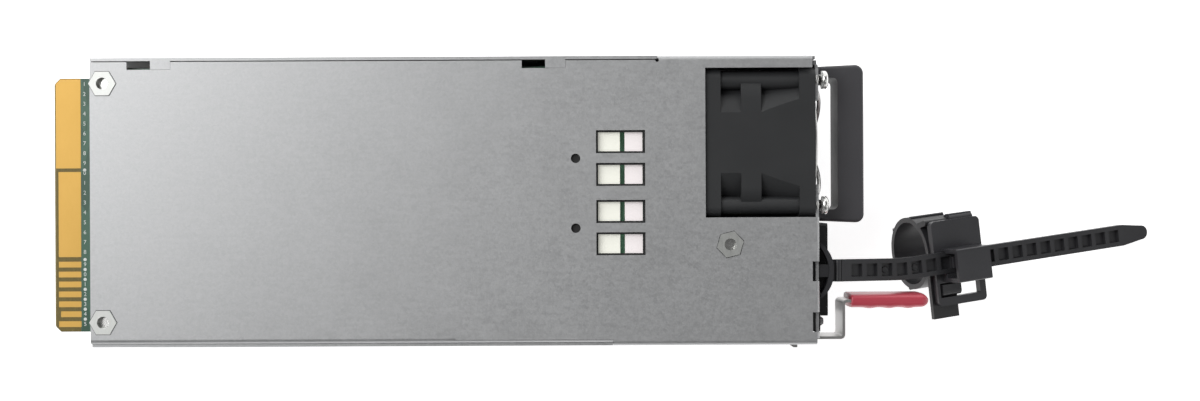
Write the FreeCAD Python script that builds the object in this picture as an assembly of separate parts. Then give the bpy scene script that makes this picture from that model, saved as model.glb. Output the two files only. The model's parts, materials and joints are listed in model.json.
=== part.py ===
import FreeCAD, Part
import math
import os
from FreeCAD import Placement, Rotation, Vector

# Hot swap server power supply, 1U redundant form factor, millimetres.
# The unit lies on its cover: the origin is the centre of the cover's outer face, +Z up,
# +X towards the handle end, and the card edge points along -X.

# Case
case_length = 185.0        # along X, front wall to rear edge
case_width = 73.5          # along Y
case_height = 40.0         # along Z
sheet = 0.8                # zinc-coated steel
bend_radius = 1.2          # outer radius of a bend
lap_gap = 0.05             # between two sheets that lap or butt
joggle_end = 52.5          # front wall to the end of the cover's lap flange
lap_height = 38.6          # top of the cover's lap flange
side_break = 41.1          # front wall to the start of the pan's own +Y wall
side_wall_setback = 0.7    # front edge of the side walls behind the front face
corner_relief = 1.65       # front wall's -Y end to the case's outer side
relief_radius = 0.5        # round relief at the side break
cover_edge = 1.05          # pan plate's edge inside the outer side, along the cover's wall
cover_screw_radius = 1.4
cover_head_radius = 2.6
cover_head_height = 0.5
cover_screw_inset = 12.0   # from each end of the lap flange
cover_screw_drop = 8.0     # below the pan plate

# Cover tabs hooked into the pan plate
tab_length = 5.1
tab_reach = 2.95           # outer side to the tab's tip
tab_slot_length = 11.1
tab_slot_gap = 0.05
rear_tab_start = 9.4       # rear edge to the first slot
front_tab_start = 64.3     # front wall to the second slot's far end

# Rear panel and its vents
vent_across = 5.4          # hexagon across flats
vent_pitch = 6.5
vent_foot = 5.7            # case floor to the lowest vents
vent_turn = 30.0
vent_margin = 6.0          # case side to the outermost vents
vent_headroom = 11.5       # case top to the topmost vents
rear_flange = 5.0
board_slot_gap = 0.4

# Main board and card edge
board_thick = 1.6
board_drop = 4.2           # case top to the board's upper face
board_side_gap = 2.3
board_rear_gap = 2.4       # rear edge to the board's wide part
board_front_gap = 31.0     # front wall to the board, beside the fan
board_ear_gap = 17.0       # front wall to the board, beside the inlet
card_inset = 4.35          # case side to the card edge
card_reach = 10.3          # beyond the rear edge
card_offset = -0.5         # card edge centre along Y
card_chamfer = 1.6
card_bevel = 0.45
contact_thick = 0.05
contact_length = 8.9
power_contact_width = 22.8
contact_gap = 0.9
contact_edge_gap = 0.2     # first contact to the board's +Y edge
late_setback = 0.6         # later-mating contacts behind the board's edge
signal_count = 7
signal_pitch = 2.54
signal_width = 1.5
signal_first = 1.9         # ground contact to the first signal contact's centre
signal_last = 1.96         # last signal contact's centre to the card's edge
short_signal = 6           # this one mates last
short_setback = 0.5

# Clinch standoffs that hold the board
standoff_across = 6.0      # hexagon across flats
standoff_head = 0.25       # head above the plate
standoff_body_radius = 2.1
standoff_bore_radius = 1.5
rear_standoff_inset = 3.2
rear_standoff_side = 6.45  # case side to the rear standoffs
front_standoff_inset = 22.7
front_standoff_drop = 6.85 # fan's side to the front standoff
front_standoff_turn = 12.0
screw_head_radius = 2.3
screw_head_height = 1.6
screw_length = 2.4

# Plate windows, film and thermal pads
window_length = 12.45
window_width = 5.82
window_front_gap = 44.2    # front wall to the windows
window_centres = (15.0, 6.7, -2.7, -10.9)
film_thick = 0.25
film_gap = 0.05
film_margin = 0.5          # film window inside the plate's window
film_length = 60.0
film_width = 50.0
film_setback = 38.0        # front wall to the film
vent_hole_radius = 1.2
vent_hole_front_gap = 61.85
vent_hole_centres = (10.8, -6.9)
pad_height = 2.4
pad_span = 34.0
pad_middle_y = 2.05
wide_pad = 5.7
narrow_pad = 4.5
pad_gap = 1.25
wide_pad_front_gap = 50.6  # front wall to the wide pad's front edge

# Fan
fan_clearance = 0.2        # fan to the cover and to the case top
fan_length = 28.0
fan_side_gap = 3.1         # case side to the fan
fan_front_gap = 0.05
rear_flange_thick = 3.9
web_thick = 5.1
web_start = 9.1            # rear face to the middle web
front_flange_thick = 4.1
flange_corner = 2.5
tube_radius = 2.3
fan_rim = 1.1              # thinnest wall round the bore
duct_radius = 20.5         # outside the housing's flats
flare_reach = 3.0
screw_edge = 3.0           # fan's side to its screws
fan_screw_radius = 1.4
fan_screw_clearance = 0.1
motor_radius = 10.0
motor_base_thick = 1.4
strut_count = 4
strut_width = 2.2
hub_radius = 9.8
hub_wall = 1.2
hub_face = 1.4
hub_rear_gap = 1.2         # motor base to the hub's rim
hub_front_gap = 3.4        # front face to the hub's face
blade_count = 7
blade_tip_gap = 0.5
blade_thick = 0.9
blade_root_angle = 38.0
blade_tip_angle = 24.0
blade_span = 13.5          # axial length of a blade
bearing_tube_radius = 4.0
bearing_radius = 3.2
bearing_length = 2.5
shaft_radius = 1.0
shaft_fit = 0.03
stator_radius = 7.6
stator_length = 9.0
fan_board_radius = 7.8
fan_board_thick = 0.8
fan_cutout_length = 28.9   # front face back to the cutout's edge in the plate
opening_edge = 0.6         # round opening inside the fan's outline
opening_notch = 21.4       # width of the notch above the round opening

# Fan guard and screws
wire_radius = 0.55
guard_ring_inset = 2.2     # bore to the outermost ring
guard_ring_pitch = 4.8
guard_ring_count = 3
guard_ring_offset = 0.12   # ring centre in front of the front face
guard_spoke_offset = 0.55
guard_bar_across = 1.0
bar_turn = 30.0
eyelet_bite = 0.3          # bar's end inside the eyelet's rim
eyelet_radius = 2.5
eyelet_bore_radius = 1.6
fan_head_radius = 3.1
fan_head_height = 1.8
fan_screw_length = 9.0

# Handle
handle_side = 1.7          # handle beyond the fan's outline, each side
handle_taper = 0.6         # each leg narrows by this towards its foot
handle_height = 14.4
handle_reach = 13.2        # front face to the bar's outer face
handle_bar = 6.8           # bar thickness along X
leg_thick = 3.5
handle_corner = 2.2
handle_inner_corner = 1.4
handle_edge = 0.9
hook_thick = 1.0
hook_lead = 0.3
hook_split = 2.0           # gap between the two prongs of a hook
hook_height = 9.0
hook_barb = 0.7
hook_gap = 0.1
hook_length = 2.2

# Mains inlet
inlet_width = 23.9         # flange along Y
inlet_height = 30.5        # flange along Z
inlet_bottom = 1.5
inlet_flange = 3.0
inlet_corner = 1.0
inlet_handle_gap = 0.6     # handle's foot to the flange
inlet_body_width = 20.6
inlet_body_height = 27.2
inlet_body_length = 17.0
inlet_panel_gap = 0.1
well_width = 16.6
well_height = 24.2
well_depth = 16.8
well_chamfer = 4.2
blade_wide = 4.0
blade_deep = 2.0
blade_recess = 1.0         # blade tips behind the flange's face
live_pitch = 7.0           # centre to the line and neutral blades
live_shift = 2.0           # line and neutral blades off the centre line
terminal_length = 7.0
terminal_thick = 0.8

# Status light
light_inset = 5.75         # case side to the light
light_bottom = 4.5         # case top to the light's axis
lens_radius = 1.4
lens_proud = 0.9
pipe_radius = 1.1
holder_width = 5.0
holder_length = 6.5
holder_height = 3.0
chip_length = 1.8
chip_width = 3.0
chip_height = 1.2

# Notches in the front bend
notch_width = 5.0
notch_depth = 1.45
notch_height = 2.6

# Latch
latch_thick = 0.7
latch_height = 14.0
latch_drop = 6.2           # case top to the strip
latch_wall_gap = 0.15
latch_pivot = 42.5         # front face back to the rivet
latch_tail = 2.8           # strip behind the rivet
latch_reach = 7.2          # front face to the strip's outer bend face
latch_step = 9.4           # inward step of the strip outside the case
latch_bend = 1.2
hook_tip = 1.3             # hook proud of the case side
hook_start = 4.9           # front face back to the hook's ramp foot
hook_run = 4.2
latch_slot_gap = 0.4
latch_swing = 2.2          # degrees that the latch turns when squeezed
rivet_radius = 1.5
rivet_fit = 0.12
rivet_head_radius = 2.6
rivet_head_height = 0.7
rivet_slack = 0.14

# Grip on the latch
grip_length = 20.0
grip_thick = 3.8
grip_start = 1.6           # strip's outer bend face to the grip
grip_tang_gap = 0.1
grip_ribs = 3
grip_rib_radius = 0.9
grip_rib_proud = 0.25

# Strap and its anchor
strap_width = 5.68
strap_thick = 1.9
strap_length = 95.1
strap_straight = 15.4
strap_bend_length = 7.0
strap_bend_angle = 6.8     # degrees, in the strap's own plane
strap_root_reach = 5.2     # front face to the strap's pivot
strap_root_drop = 4.9      # case top to the pivot
strap_tip_height = 2.6     # strap centre line above the table at its tip
strap_offset = 0.1         # strap's line beside the inlet's middle
strap_tip_taper = 8.0
strap_tip_radius = 1.9
rung_pitch = 4.4
pocket_length = 3.1
pocket_width = 3.3
pocket_depth = 1.1
pocket_start = 3.4
pocket_end_gap = 9.0
nose_radius = 1.0
nose_gap = 0.12
wing_span = 14.3
wing_thick = 1.1
wing_height = 4.4
wing_rest = 0.5            # wing tips in front of the panel
neck_width = 3.2
anchor_slot_gap = 0.15
arrow_width = 4.6
arrow_length = 3.0

# Cord clip, in the strap's frame
clip_station = 38.9        # along the strap
clip_back = 9.7            # plate behind the station
clip_front = 4.9           # plate ahead of the station
plate_thick = 2.0
plate_left = 10.9          # plate to the strap's left
plate_right = 11.5         # plate to the strap's right
plate_corner = 1.2
strap_fit = 0.1
box_back = 7.55
box_length = 9.95
box_width = 8.7
box_offset = -0.8
box_height = 7.8
box_wall = 1.1
box_roof = 1.2
pawl_thick = 0.9
pawl_width = 2.8
pawl_setback = 1.0         # box's open end to the pawl's tip
pawl_fit = 0.1
pawl_tooth = 1.0           # tooth below the pawl
tooth_ramp = 1.2
tooth_length = 2.0
window_frame_length = 12.0
window_frame_width = 3.8
frame_bar = 2.2
frame_end = 1.8

# Cord loop, the clip's opening jaw
loop_radius = 9.7
loop_wall = 1.3
loop_length = 10.1
loop_offset = 2.4
loop_gap = 0.15            # loop under the plate
loop_hinge_radius = 0.8
tongue_length = 7.6
tongue_thick = 1.4
tail_reach = 3.4
catch_gap = 0.4
catch_height = 2.6
ridge_radius = 0.5
ridge_angles = (12.0, -50.0, -115.0, 192.0)
hinge_drop = 1.0           # hinge axis under the plate
hinge_inset = 0.3          # hinge axis inside the plate's left edge
hinge_wall = 0.9
hinge_fit = 0.08
knuckle_length = 6.9
arm_angle = 38.0           # where the arm meets the loop, in degrees
arm_thick = 1.4
arm_outside = 1.1
arm_inside = 0.5
arm_knuckle_gap = 3.3     # arm's end short of the station
hinge_end = 1.0            # knuckle behind the plate's front edge
tongue_overhang = 0.3      # tongue behind the loop
tongue_root = 3.0          # tongue beyond the loop's middle
catch_start = 0.5          # window end to the catch
catch_corner = 1.2

# Parts on the board
bulk_radius = 0.1701 * case_width
bulk_length = 0.1838 * case_length
bulk_front_gap = 0.3486 * case_length
bulk_spacing = 0.3673 * case_width
bulk_middle_y = 0.068 * case_width
choke_radius = 0.1905 * case_width
choke_bore = 0.0952 * case_width
choke_height = 0.325 * case_height
choke_front_gap = 0.2514 * case_length # front wall to the choke's centre
choke_y = 0.2585 * case_width
winding_gap = 0.3
winding_thick = 1.6
winding_wide = 2.2
winding_turns = 12
core_length = 0.173 * case_length
core_width = 0.4082 * case_width
core_height = 0.675 * case_height
core_x = -0.1405 * case_length
core_y = -0.0816 * case_width
core_leg = 0.0816 * case_width
resonant_size = 0.2449 * case_width
resonant_height = 0.5 * case_height
resonant_y = 0.2993 * case_width
filter_core_radius = 0.1224 * case_width
filter_core_bore = 0.068 * case_width
filter_core_height = 0.3 * case_height
filter_front_gap = 0.1973 * case_length
filter_y = -0.2517 * case_width
film_cap_length = 0.0811 * case_length
film_cap_width = 0.1088 * case_width
film_cap_height = 0.35 * case_height
film_cap_pitch = 0.1252 * case_width
film_cap_front_gap = 0.3432 * case_length
film_cap_y = -0.3905 * case_width
fuse_radius = 2.6
fuse_length = 0.1081 * case_length
fuse_y = -0.4218 * case_width
relay_length = 0.0811 * case_length
relay_width = 0.1224 * case_width
relay_height = 0.375 * case_height
relay_y = -0.1224 * case_width
relay_front_gap = 0.2568 * case_length
sink_thick = 2.0
sink_height = 0.65 * case_height
sink_length = 0.1838 * case_length
sink_fins = 5
sink_fin_reach = 0.068 * case_width
primary_sink_y = -0.3741 * case_width
secondary_sink_x = 0.1757 * case_length
secondary_sink_length = 0.2162 * case_length
secondary_sink_y = -0.3741 * case_width
device_width = 0.0551 * case_length
device_height = 0.375 * case_height
device_thick = 0.0599 * case_width
device_pitch = 0.0622 * case_length
device_count = 3
output_cap_radius = 0.0544 * case_width
output_cap_height = 0.3 * case_height
output_cap_count = 4
output_cap_pitch = 0.0514 * case_length
output_cap_inset = 0.0865 * case_length
output_cap_rows = 2
busbar_thick = 1.5
busbar_height = 0.225 * case_height
busbar_length = 0.1297 * case_length
busbar_inset = 0.0432 * case_length
busbar_y = 0.2993 * case_width
standby_length = 0.0865 * case_length
standby_width = 0.2041 * case_width
standby_height = 0.4 * case_height
standby_inset = 0.1757 * case_length
standby_y = 0.2041 * case_width
control_length = 0.1838 * case_length
control_height = 0.6 * case_height
control_thick = 1.0
control_inset = 0.1622 * case_length
control_y = 0.4408 * case_width
header_length = 7.5
header_width = 5.0
header_height = 0.15 * case_height
header_y = -1.5

# Places worked out from the sizes above
front_x = case_length / 2
rear_x = -case_length / 2
side_y = case_width / 2
inner_top = case_height - sheet
panel_x = front_x - sheet
card_width = case_width - 2 * card_inset
signal_span = signal_first + (signal_count - 1) * signal_pitch + signal_last
board_top = case_height - board_drop
board_bottom = board_top - board_thick
ground_contact_width = (card_width - contact_edge_gap - power_contact_width - contact_gap
                        - signal_span)
fan_size = case_height - 2 * sheet - 2 * fan_clearance
fan_bore_radius = fan_size / 2 - fan_rim
screw_spacing = fan_size - 2 * screw_edge
opening_radius = fan_size / 2 - opening_edge
fan_front = panel_x - fan_front_gap
fan_rear = fan_front - fan_length
fan_y = side_y - fan_side_gap - fan_size / 2
fan_z = sheet + fan_clearance + fan_size / 2
handle_z = fan_z
leg_face = fan_size / 2 + handle_side
inlet_y = fan_y - leg_face + handle_taper - inlet_handle_gap - inlet_width / 2
inlet_z = inlet_bottom + inlet_height / 2
light_y = -side_y + light_inset
light_z = case_height - light_bottom
latch_top = case_height - latch_drop
latch_bottom = latch_top - latch_height
latch_y = -side_y + sheet + latch_wall_gap + latch_thick
pivot_x = front_x - latch_pivot
strap_y = inlet_y - strap_offset
strap_root = Vector(front_x + strap_root_reach, strap_y, case_height - strap_root_drop)
strap_tilt = math.degrees(math.asin((strap_root.z - strap_tip_height) / strap_length))
strap_bend_radius = strap_bend_length / math.radians(strap_bend_angle)
strap_place = Placement(strap_root, Rotation(Vector(0, 1, 0), strap_tilt))


def block(x0, x1, y0, y1, z0, z1):
    return Part.makeBox(x1 - x0, y1 - y0, z1 - z0, Vector(x0, y0, z0))


def rod(radius, start, end):
    return Part.makeCylinder(radius, (end - start).Length, start, end - start)


def tube(outer, inner, start, end):
    return rod(outer, start, end).cut(rod(inner, start, end))


def prism(points, depth):
    return Part.Face(Part.makePolygon(points + [points[0]])).extrude(depth)


def hexagon(across, start, depth, turn=0.0):
    reach = across / math.sqrt(3)
    side = depth.cross(Vector(0, 1, 0)) if depth.z else Vector(0, 1, 0)
    side.normalize()
    points = []
    for corner in range(6):
        spin = Rotation(depth, turn + 60 * corner)
        points.append(start + spin.multVec(side) * reach)
    return prism(points, depth)


def joined(shapes):
    return shapes[0].multiFuse(shapes[1:]).removeSplitter()


def rounded(shape, radius, chosen):
    return shape.makeFillet(radius, [edge for edge in shape.Edges if chosen(edge)])


def runs_along(edge, axis):
    ends = [vertex.Point for vertex in edge.Vertexes]
    if len(ends) < 2:
        return False
    return abs((ends[1] - ends[0]).normalize().dot(axis)) > 0.999


def save(name, *solids):
    shape = solids[0] if len(solids) == 1 else Part.makeCompound(list(solids))
    shape.exportStep("parts/%s.step" % name)
    print(name, len(shape.Solids), shape.isValid(), round(shape.Volume, 1))


X = Vector(1, 0, 0)
Y = Vector(0, 1, 0)
Z = Vector(0, 0, 1)


def strap_point(station):
    # centre line of the strap in its own plane, and its direction there in degrees
    arc_start = strap_straight
    arc_end = strap_straight + strap_bend_length
    if station <= arc_start:
        return Vector(station, 0, 0), 0.0
    turn = min(station - arc_start, strap_bend_length) / strap_bend_radius
    place = Vector(arc_start + strap_bend_radius * math.sin(turn),
                   strap_bend_radius * (1 - math.cos(turn)), 0)
    beyond = max(station - arc_end, 0.0)
    place += Vector(math.cos(turn), math.sin(turn), 0) * beyond
    return place, math.degrees(turn)


def strap_frame(station):
    place, turn = strap_point(station)
    return strap_place.multiply(Placement(place, Rotation(Z, turn)))


def base_pan():
    # plate with a bent front wall and side walls, laid over the cover
    edge = side_y - cover_edge
    break_x = front_x - side_break
    joggle_x = front_x - joggle_end
    wall_end = front_x - side_wall_setback
    tucked = side_y - sheet - lap_gap
    foot = sheet + lap_gap

    def side_wall(x0, x1, outer):
        solid = rounded(block(x0, x1, -outer, 0, foot, case_height), bend_radius,
                        lambda e: runs_along(e, X) and e.CenterOfMass.z > inner_top
                        and e.CenterOfMass.y < -1)
        hollow = rounded(block(x0, x1, -outer + sheet, 1, foot - 1, inner_top), bend_radius - sheet,
                         lambda e: runs_along(e, X) and e.CenterOfMass.z > inner_top - 1
                         and e.CenterOfMass.y < -1)
        return solid.cut(hollow)

    plate = block(rear_x, wall_end, 0, edge, inner_top, case_height)
    right_front = side_wall(joggle_x, wall_end, side_y)
    right_rear = side_wall(rear_x, joggle_x, tucked)
    left = side_wall(break_x, wall_end, side_y).mirror(Vector(), Y)

    wall_low = -side_y + corner_relief
    wall_high = fan_y + fan_size / 2 + 0.9
    front = rounded(block(0, front_x, wall_low, wall_high, foot, case_height), bend_radius,
                    lambda e: runs_along(e, Y) and e.CenterOfMass.z > inner_top
                    and e.CenterOfMass.x > 1)
    hollow = rounded(block(-1, panel_x, wall_low, wall_high, foot - 1, inner_top), bend_radius - sheet,
                     lambda e: runs_along(e, Y) and e.CenterOfMass.z > inner_top - 1
                     and e.CenterOfMass.x > 1)
    corner = block(panel_x, front_x, wall_high, side_y - sheet - 0.1, foot, handle_z + handle_height)
    trim = block(wall_end - 1, front_x + 1, wall_high - 0.9, side_y, inner_top - 2, case_height + 1)
    body = joined([plate, right_front, right_rear, left, front.cut(hollow), corner])
    return body.cut(Part.makeCompound([trim] + pan_openings(break_x)))


def pan_openings(break_x):
    edge = side_y - cover_edge
    tools = []
    # hooks of the cover sit in these slots
    for start in tab_starts():
        tools.append(block(start, start + tab_slot_length, side_y - tab_reach - tab_slot_gap,
                           side_y + 1, inner_top - 1, case_height + 1))
    tools.append(rod(relief_radius, Vector(break_x, edge, inner_top - 1),
                     Vector(break_x, edge, case_height + 1)))
    # cutout over the fan, round opening in front of it
    half = fan_size / 2
    cut_x = front_x - fan_cutout_length
    tools.append(block(cut_x, front_x + 1, fan_y - half, fan_y + half, inner_top - 1, case_height + 1))
    tools.append(block(panel_x - 0.01, front_x + 1, fan_y - opening_notch / 2,
                       fan_y + opening_notch / 2, fan_z, case_height + 1))
    tools.append(rod(opening_radius, Vector(panel_x - 1, fan_y, fan_z),
                     Vector(front_x + 1, fan_y, fan_z)))
    for y, z in screw_places():
        tools.append(rod(fan_screw_radius + 0.2, Vector(panel_x - 1, y, z), Vector(front_x + 1, y, z)))
    # handle hooks
    low = handle_z - hook_height / 2 - hook_gap
    high = handle_z + hook_height / 2 + hook_gap
    reach = fan_size / 2
    tools.append(block(panel_x - 1, front_x + 1, fan_y + reach, fan_y + reach + hook_thick + 2 * hook_gap,
                       low, high))
    tools.append(block(panel_x - 1, front_x + 1, fan_y - reach - hook_thick - 2 * hook_gap,
                       fan_y - reach, low, high))
    # inlet, strap anchor, light and latch
    tools.append(block(panel_x - 1, front_x + 1, inlet_y - inlet_body_width / 2 - inlet_panel_gap,
                       inlet_y + inlet_body_width / 2 + inlet_panel_gap,
                       inlet_z - inlet_body_height / 2 - inlet_panel_gap,
                       inlet_z + inlet_body_height / 2 + inlet_panel_gap))
    neck = neck_width / 2 + anchor_slot_gap
    slot_y = neck_width / 2 + arrow_overhang() + anchor_slot_gap
    tools.append(block(panel_x - 1, front_x + 1, strap_y - slot_y, strap_y + slot_y,
                       strap_root.z - neck, strap_root.z + neck))
    tools.append(block(panel_x - 1, front_x + 1, light_y - holder_width / 2 - 0.1,
                       light_y + holder_width / 2 + 0.1, light_z - holder_height / 2 - 0.1,
                       light_z + holder_height / 2 + 0.1))
    tools.append(block(panel_x - 1, front_x + 1, -side_y - 1, latch_slot_edge(),
                       latch_bottom - latch_slot_gap, latch_top + latch_slot_gap))
    for y in (strap_y, light_y):
        tools.append(block(front_x - bend_radius - notch_depth + sheet, front_x + 1, y - notch_width / 2,
                           y + notch_width / 2, case_height - notch_height, case_height + 1))
    # hook window and rivet hole in the side wall
    tools.append(block(front_x - hook_start - hook_run - 0.4, front_x - hook_start + 0.6,
                       -side_y - 1, -side_y + sheet + 1, latch_bottom + 1.6, latch_top - 1.6))
    tools.append(rod(rivet_radius + 0.02, Vector(pivot_x, -side_y - 1, latch_middle()),
                     Vector(pivot_x, -side_y + 2, latch_middle())))
    # windows, vent holes and standoffs
    x0 = front_x - window_front_gap - window_length
    for y in window_centres:
        tools.append(block(x0, x0 + window_length, y - window_width / 2, y + window_width / 2,
                           inner_top - 1, case_height + 1))
    for y in vent_hole_centres:
        x = front_x - vent_hole_front_gap
        tools.append(rod(vent_hole_radius, Vector(x, y, inner_top - 1), Vector(x, y, case_height + 1)))
    for x, y, turn in standoff_places():
        tools.append(rod(standoff_body_radius, Vector(x, y, inner_top - 1), Vector(x, y, case_height + 1)))
    for x in cover_screw_places():
        z = lap_height - cover_screw_drop
        tools.append(rod(cover_screw_radius, Vector(x, -side_y - 1, z), Vector(x, -side_y + 3, z)))
    return tools


def tab_starts():
    return (rear_x + rear_tab_start, front_x - front_tab_start - tab_slot_length)


def screw_places():
    step = screw_spacing / 2
    return [(fan_y + a * step, fan_z + b * step) for a in (-1, 1) for b in (-1, 1)]


def standoff_places():
    rear = rear_x + rear_standoff_inset
    y = side_y - rear_standoff_side
    return [(rear, y, 0.0), (rear, -y, 0.0),
            (front_x - front_standoff_inset, fan_y - fan_size / 2 - front_standoff_drop,
             front_standoff_turn)]


def cover_screw_places():
    return (rear_x + cover_screw_inset, front_x - joggle_end - cover_screw_inset)


def arrow_overhang():
    return (arrow_width - neck_width) / 2


def latch_middle():
    return (latch_bottom + latch_top) / 2


def latch_slot_edge():
    # the strip's inner face at the front wall, squeezed right in
    return latch_y + latch_pivot * math.sin(math.radians(latch_swing)) + latch_slot_gap


def cover():
    plate = block(rear_x, front_x, -side_y, side_y, 0, sheet)
    break_x = front_x - side_break
    left = block(rear_x, break_x - lap_gap, side_y - sheet, side_y, 0, case_height)
    lap = block(rear_x, front_x - joggle_end - lap_gap, -side_y, -side_y + sheet, 0, lap_height)
    body = joined([plate, left, lap])
    body = rounded(body, bend_radius, lambda e: runs_along(e, X) and e.CenterOfMass.z < 0.01
                   and abs(abs(e.CenterOfMass.y) - side_y) < 0.01)
    tabs = []
    for start in tab_starts():
        x0 = start + tab_slot_length - tab_length - tab_slot_gap
        tabs.append(block(x0, x0 + tab_length, side_y - tab_reach, side_y - sheet / 2,
                          inner_top, case_height))
    body = joined([body] + tabs)
    holes = []
    for x in cover_screw_places():
        z = lap_height - cover_screw_drop
        holes.append(rod(cover_screw_radius, Vector(x, -side_y - 1, z), Vector(x, -side_y + 2, z)))
        holes.append(rod(cover_head_radius + 0.02, Vector(x, -side_y - 1, z),
                         Vector(x, -side_y + cover_head_height, z)))
    return body.cut(Part.makeCompound(holes))


def cover_screws():
    screws = []
    for x in cover_screw_places():
        z = lap_height - cover_screw_drop
        head = rod(cover_head_radius, Vector(x, -side_y, z), Vector(x, -side_y + cover_head_height, z))
        shank = rod(cover_screw_radius - 0.05, Vector(x, -side_y + cover_head_height, z),
                    Vector(x, -side_y + 3 * sheet, z))
        screws.append(joined([head, shank]))
    return screws


def rear_panel():
    y0 = -side_y + 2 * sheet + 2 * lap_gap
    y1 = side_y - sheet - lap_gap
    z0 = sheet + lap_gap
    z1 = inner_top - lap_gap
    wall = rounded(block(rear_x, rear_x + sheet, y0, y1, z0, z1), bend_radius - sheet,
                   lambda e: runs_along(e, X) and e.CenterOfMass.z > z1 - 0.01 and e.CenterOfMass.y < 0)
    foot = block(rear_x, rear_x + rear_flange, y0, y1, z0, z0 + sheet)
    card_y0 = card_offset - card_width / 2 - board_slot_gap
    card_y1 = card_offset + card_width / 2 + board_slot_gap
    tools = [block(rear_x - 1, rear_x + 2, card_y0, card_y1, board_bottom - board_slot_gap,
                   board_top + board_slot_gap)]
    row_step = vent_pitch * math.sqrt(3) / 2
    rows = int((case_height - vent_headroom - vent_foot) / row_step)
    columns = int((case_width - 2 * vent_margin) / vent_pitch) + 1
    for row in range(rows):
        z = vent_foot + (row + 0.5) * row_step
        count = columns - row % 2
        for column in range(count):
            y = (column - (count - 1) / 2) * vent_pitch
            tools.append(hexagon(vent_across, Vector(rear_x - 1, y, z), Vector(3, 0, 0), vent_turn))
    return joined([wall, foot]).cut(Part.makeCompound(tools))


def board_standoffs():
    pieces = []
    for x, y, turn in standoff_places():
        top = Vector(x, y, case_height)
        head = hexagon(standoff_across, top, Z * standoff_head, turn)
        body = rod(standoff_body_radius - 0.02, Vector(x, y, board_top), top)
        bore = rod(standoff_bore_radius, Vector(x, y, board_top - 1), top + Z)
        pieces.append(joined([head, body]).cut(bore))
    return pieces


def board_screws():
    pieces = []
    for x, y, turn in standoff_places():
        seat = Vector(x, y, board_bottom)
        head = rod(screw_head_radius, seat - Z * screw_head_height, seat)
        shank = rod(standoff_bore_radius - 0.03, seat, seat + Z * (board_thick + screw_length))
        pieces.append(joined([head, shank]))
    return pieces


def main_board():
    inner_side = side_y - board_side_gap
    back = rear_x + board_rear_gap
    tip = rear_x - card_reach
    low = card_offset - card_width / 2
    high = card_offset + card_width / 2
    ear = fan_y - fan_size / 2 - 1.0
    points = [(tip, low + card_chamfer), (tip + card_chamfer, low), (back, low), (back, -inner_side),
              (front_x - board_ear_gap, -inner_side), (front_x - board_ear_gap, ear),
              (front_x - board_front_gap, ear), (front_x - board_front_gap, inner_side),
              (back, inner_side), (back, high), (tip + card_chamfer, high), (tip, high - card_chamfer)]
    board = prism([Vector(x, y, board_bottom) for x, y in points], Z * board_thick)
    board = board.makeChamfer(card_bevel, [e for e in board.Edges if runs_along(e, Y)
                                           and e.CenterOfMass.x < tip + 0.01])
    holes = [rod(standoff_bore_radius + 0.1, Vector(x, y, board_bottom - 1), Vector(x, y, board_top + 1))
             for x, y, turn in standoff_places()]
    return board.cut(Part.makeCompound(holes))


def contact(x_end, y0, y1, z):
    root = rear_x - card_reach + card_bevel + contact_length
    return block(x_end, root, y0, y1, z, z + contact_thick)


def power_contacts():
    # two wide contacts on each face of the card edge
    tip = rear_x - card_reach + card_bevel
    top = card_offset + card_width / 2 - contact_edge_gap
    pieces = []
    cut = card_chamfer - card_bevel
    for z in (board_top, board_bottom - contact_thick):
        pad = contact(tip, top - power_contact_width, top, z)
        corner = [Vector(tip, top, z), Vector(tip + cut, top, z), Vector(tip, top - cut, z)]
        pieces.append(pad.cut(prism(corner, Z * contact_thick)))
        y1 = top - power_contact_width - contact_gap
        pieces.append(contact(tip + late_setback, y1 - ground_contact_width, y1, z))
    return pieces


def signal_contacts():
    tip = rear_x - card_reach + card_bevel
    first = (card_offset + card_width / 2 - contact_edge_gap - power_contact_width - contact_gap
             - ground_contact_width - signal_first)
    pieces = []
    for z in (board_top, board_bottom - contact_thick):
        for number in range(signal_count):
            y = first - number * signal_pitch
            setback = late_setback + (short_setback if number + 1 == short_signal else 0)
            pieces.append(contact(tip + setback, y - signal_width / 2, y + signal_width / 2, z))
    return pieces


def insulation_film():
    top = inner_top - film_gap
    x1 = front_x - film_setback
    y_mid = pad_middle_y
    film = block(x1 - film_length, x1, y_mid - film_width / 2, y_mid + film_width / 2,
                 top - film_thick, top)
    x0 = front_x - window_front_gap - window_length + film_margin
    length = window_length - 2 * film_margin
    width = window_width - 2 * film_margin
    holes = [block(x0, x0 + length, y - width / 2, y + width / 2, top - 1, top + 1)
             for y in window_centres]
    return film.cut(Part.makeCompound(holes))


def thermal_pads():
    y0 = pad_middle_y - pad_span / 2
    y1 = pad_middle_y + pad_span / 2
    wide_front = front_x - wide_pad_front_gap
    narrow_rear = wide_front + pad_gap
    wide = block(wide_front - wide_pad, wide_front, y0, y1, board_top, board_top + pad_height)
    narrow = block(narrow_rear, narrow_rear + narrow_pad, y0, y1, board_top, board_top + pad_height)
    return wide, narrow


# Fan

def fan_plate(x0, thick, corner):
    half = fan_size / 2
    plate = block(x0, x0 + thick, fan_y - half, fan_y + half, fan_z - half, fan_z + half)
    return rounded(plate, corner, lambda e: runs_along(e, X))


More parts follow.
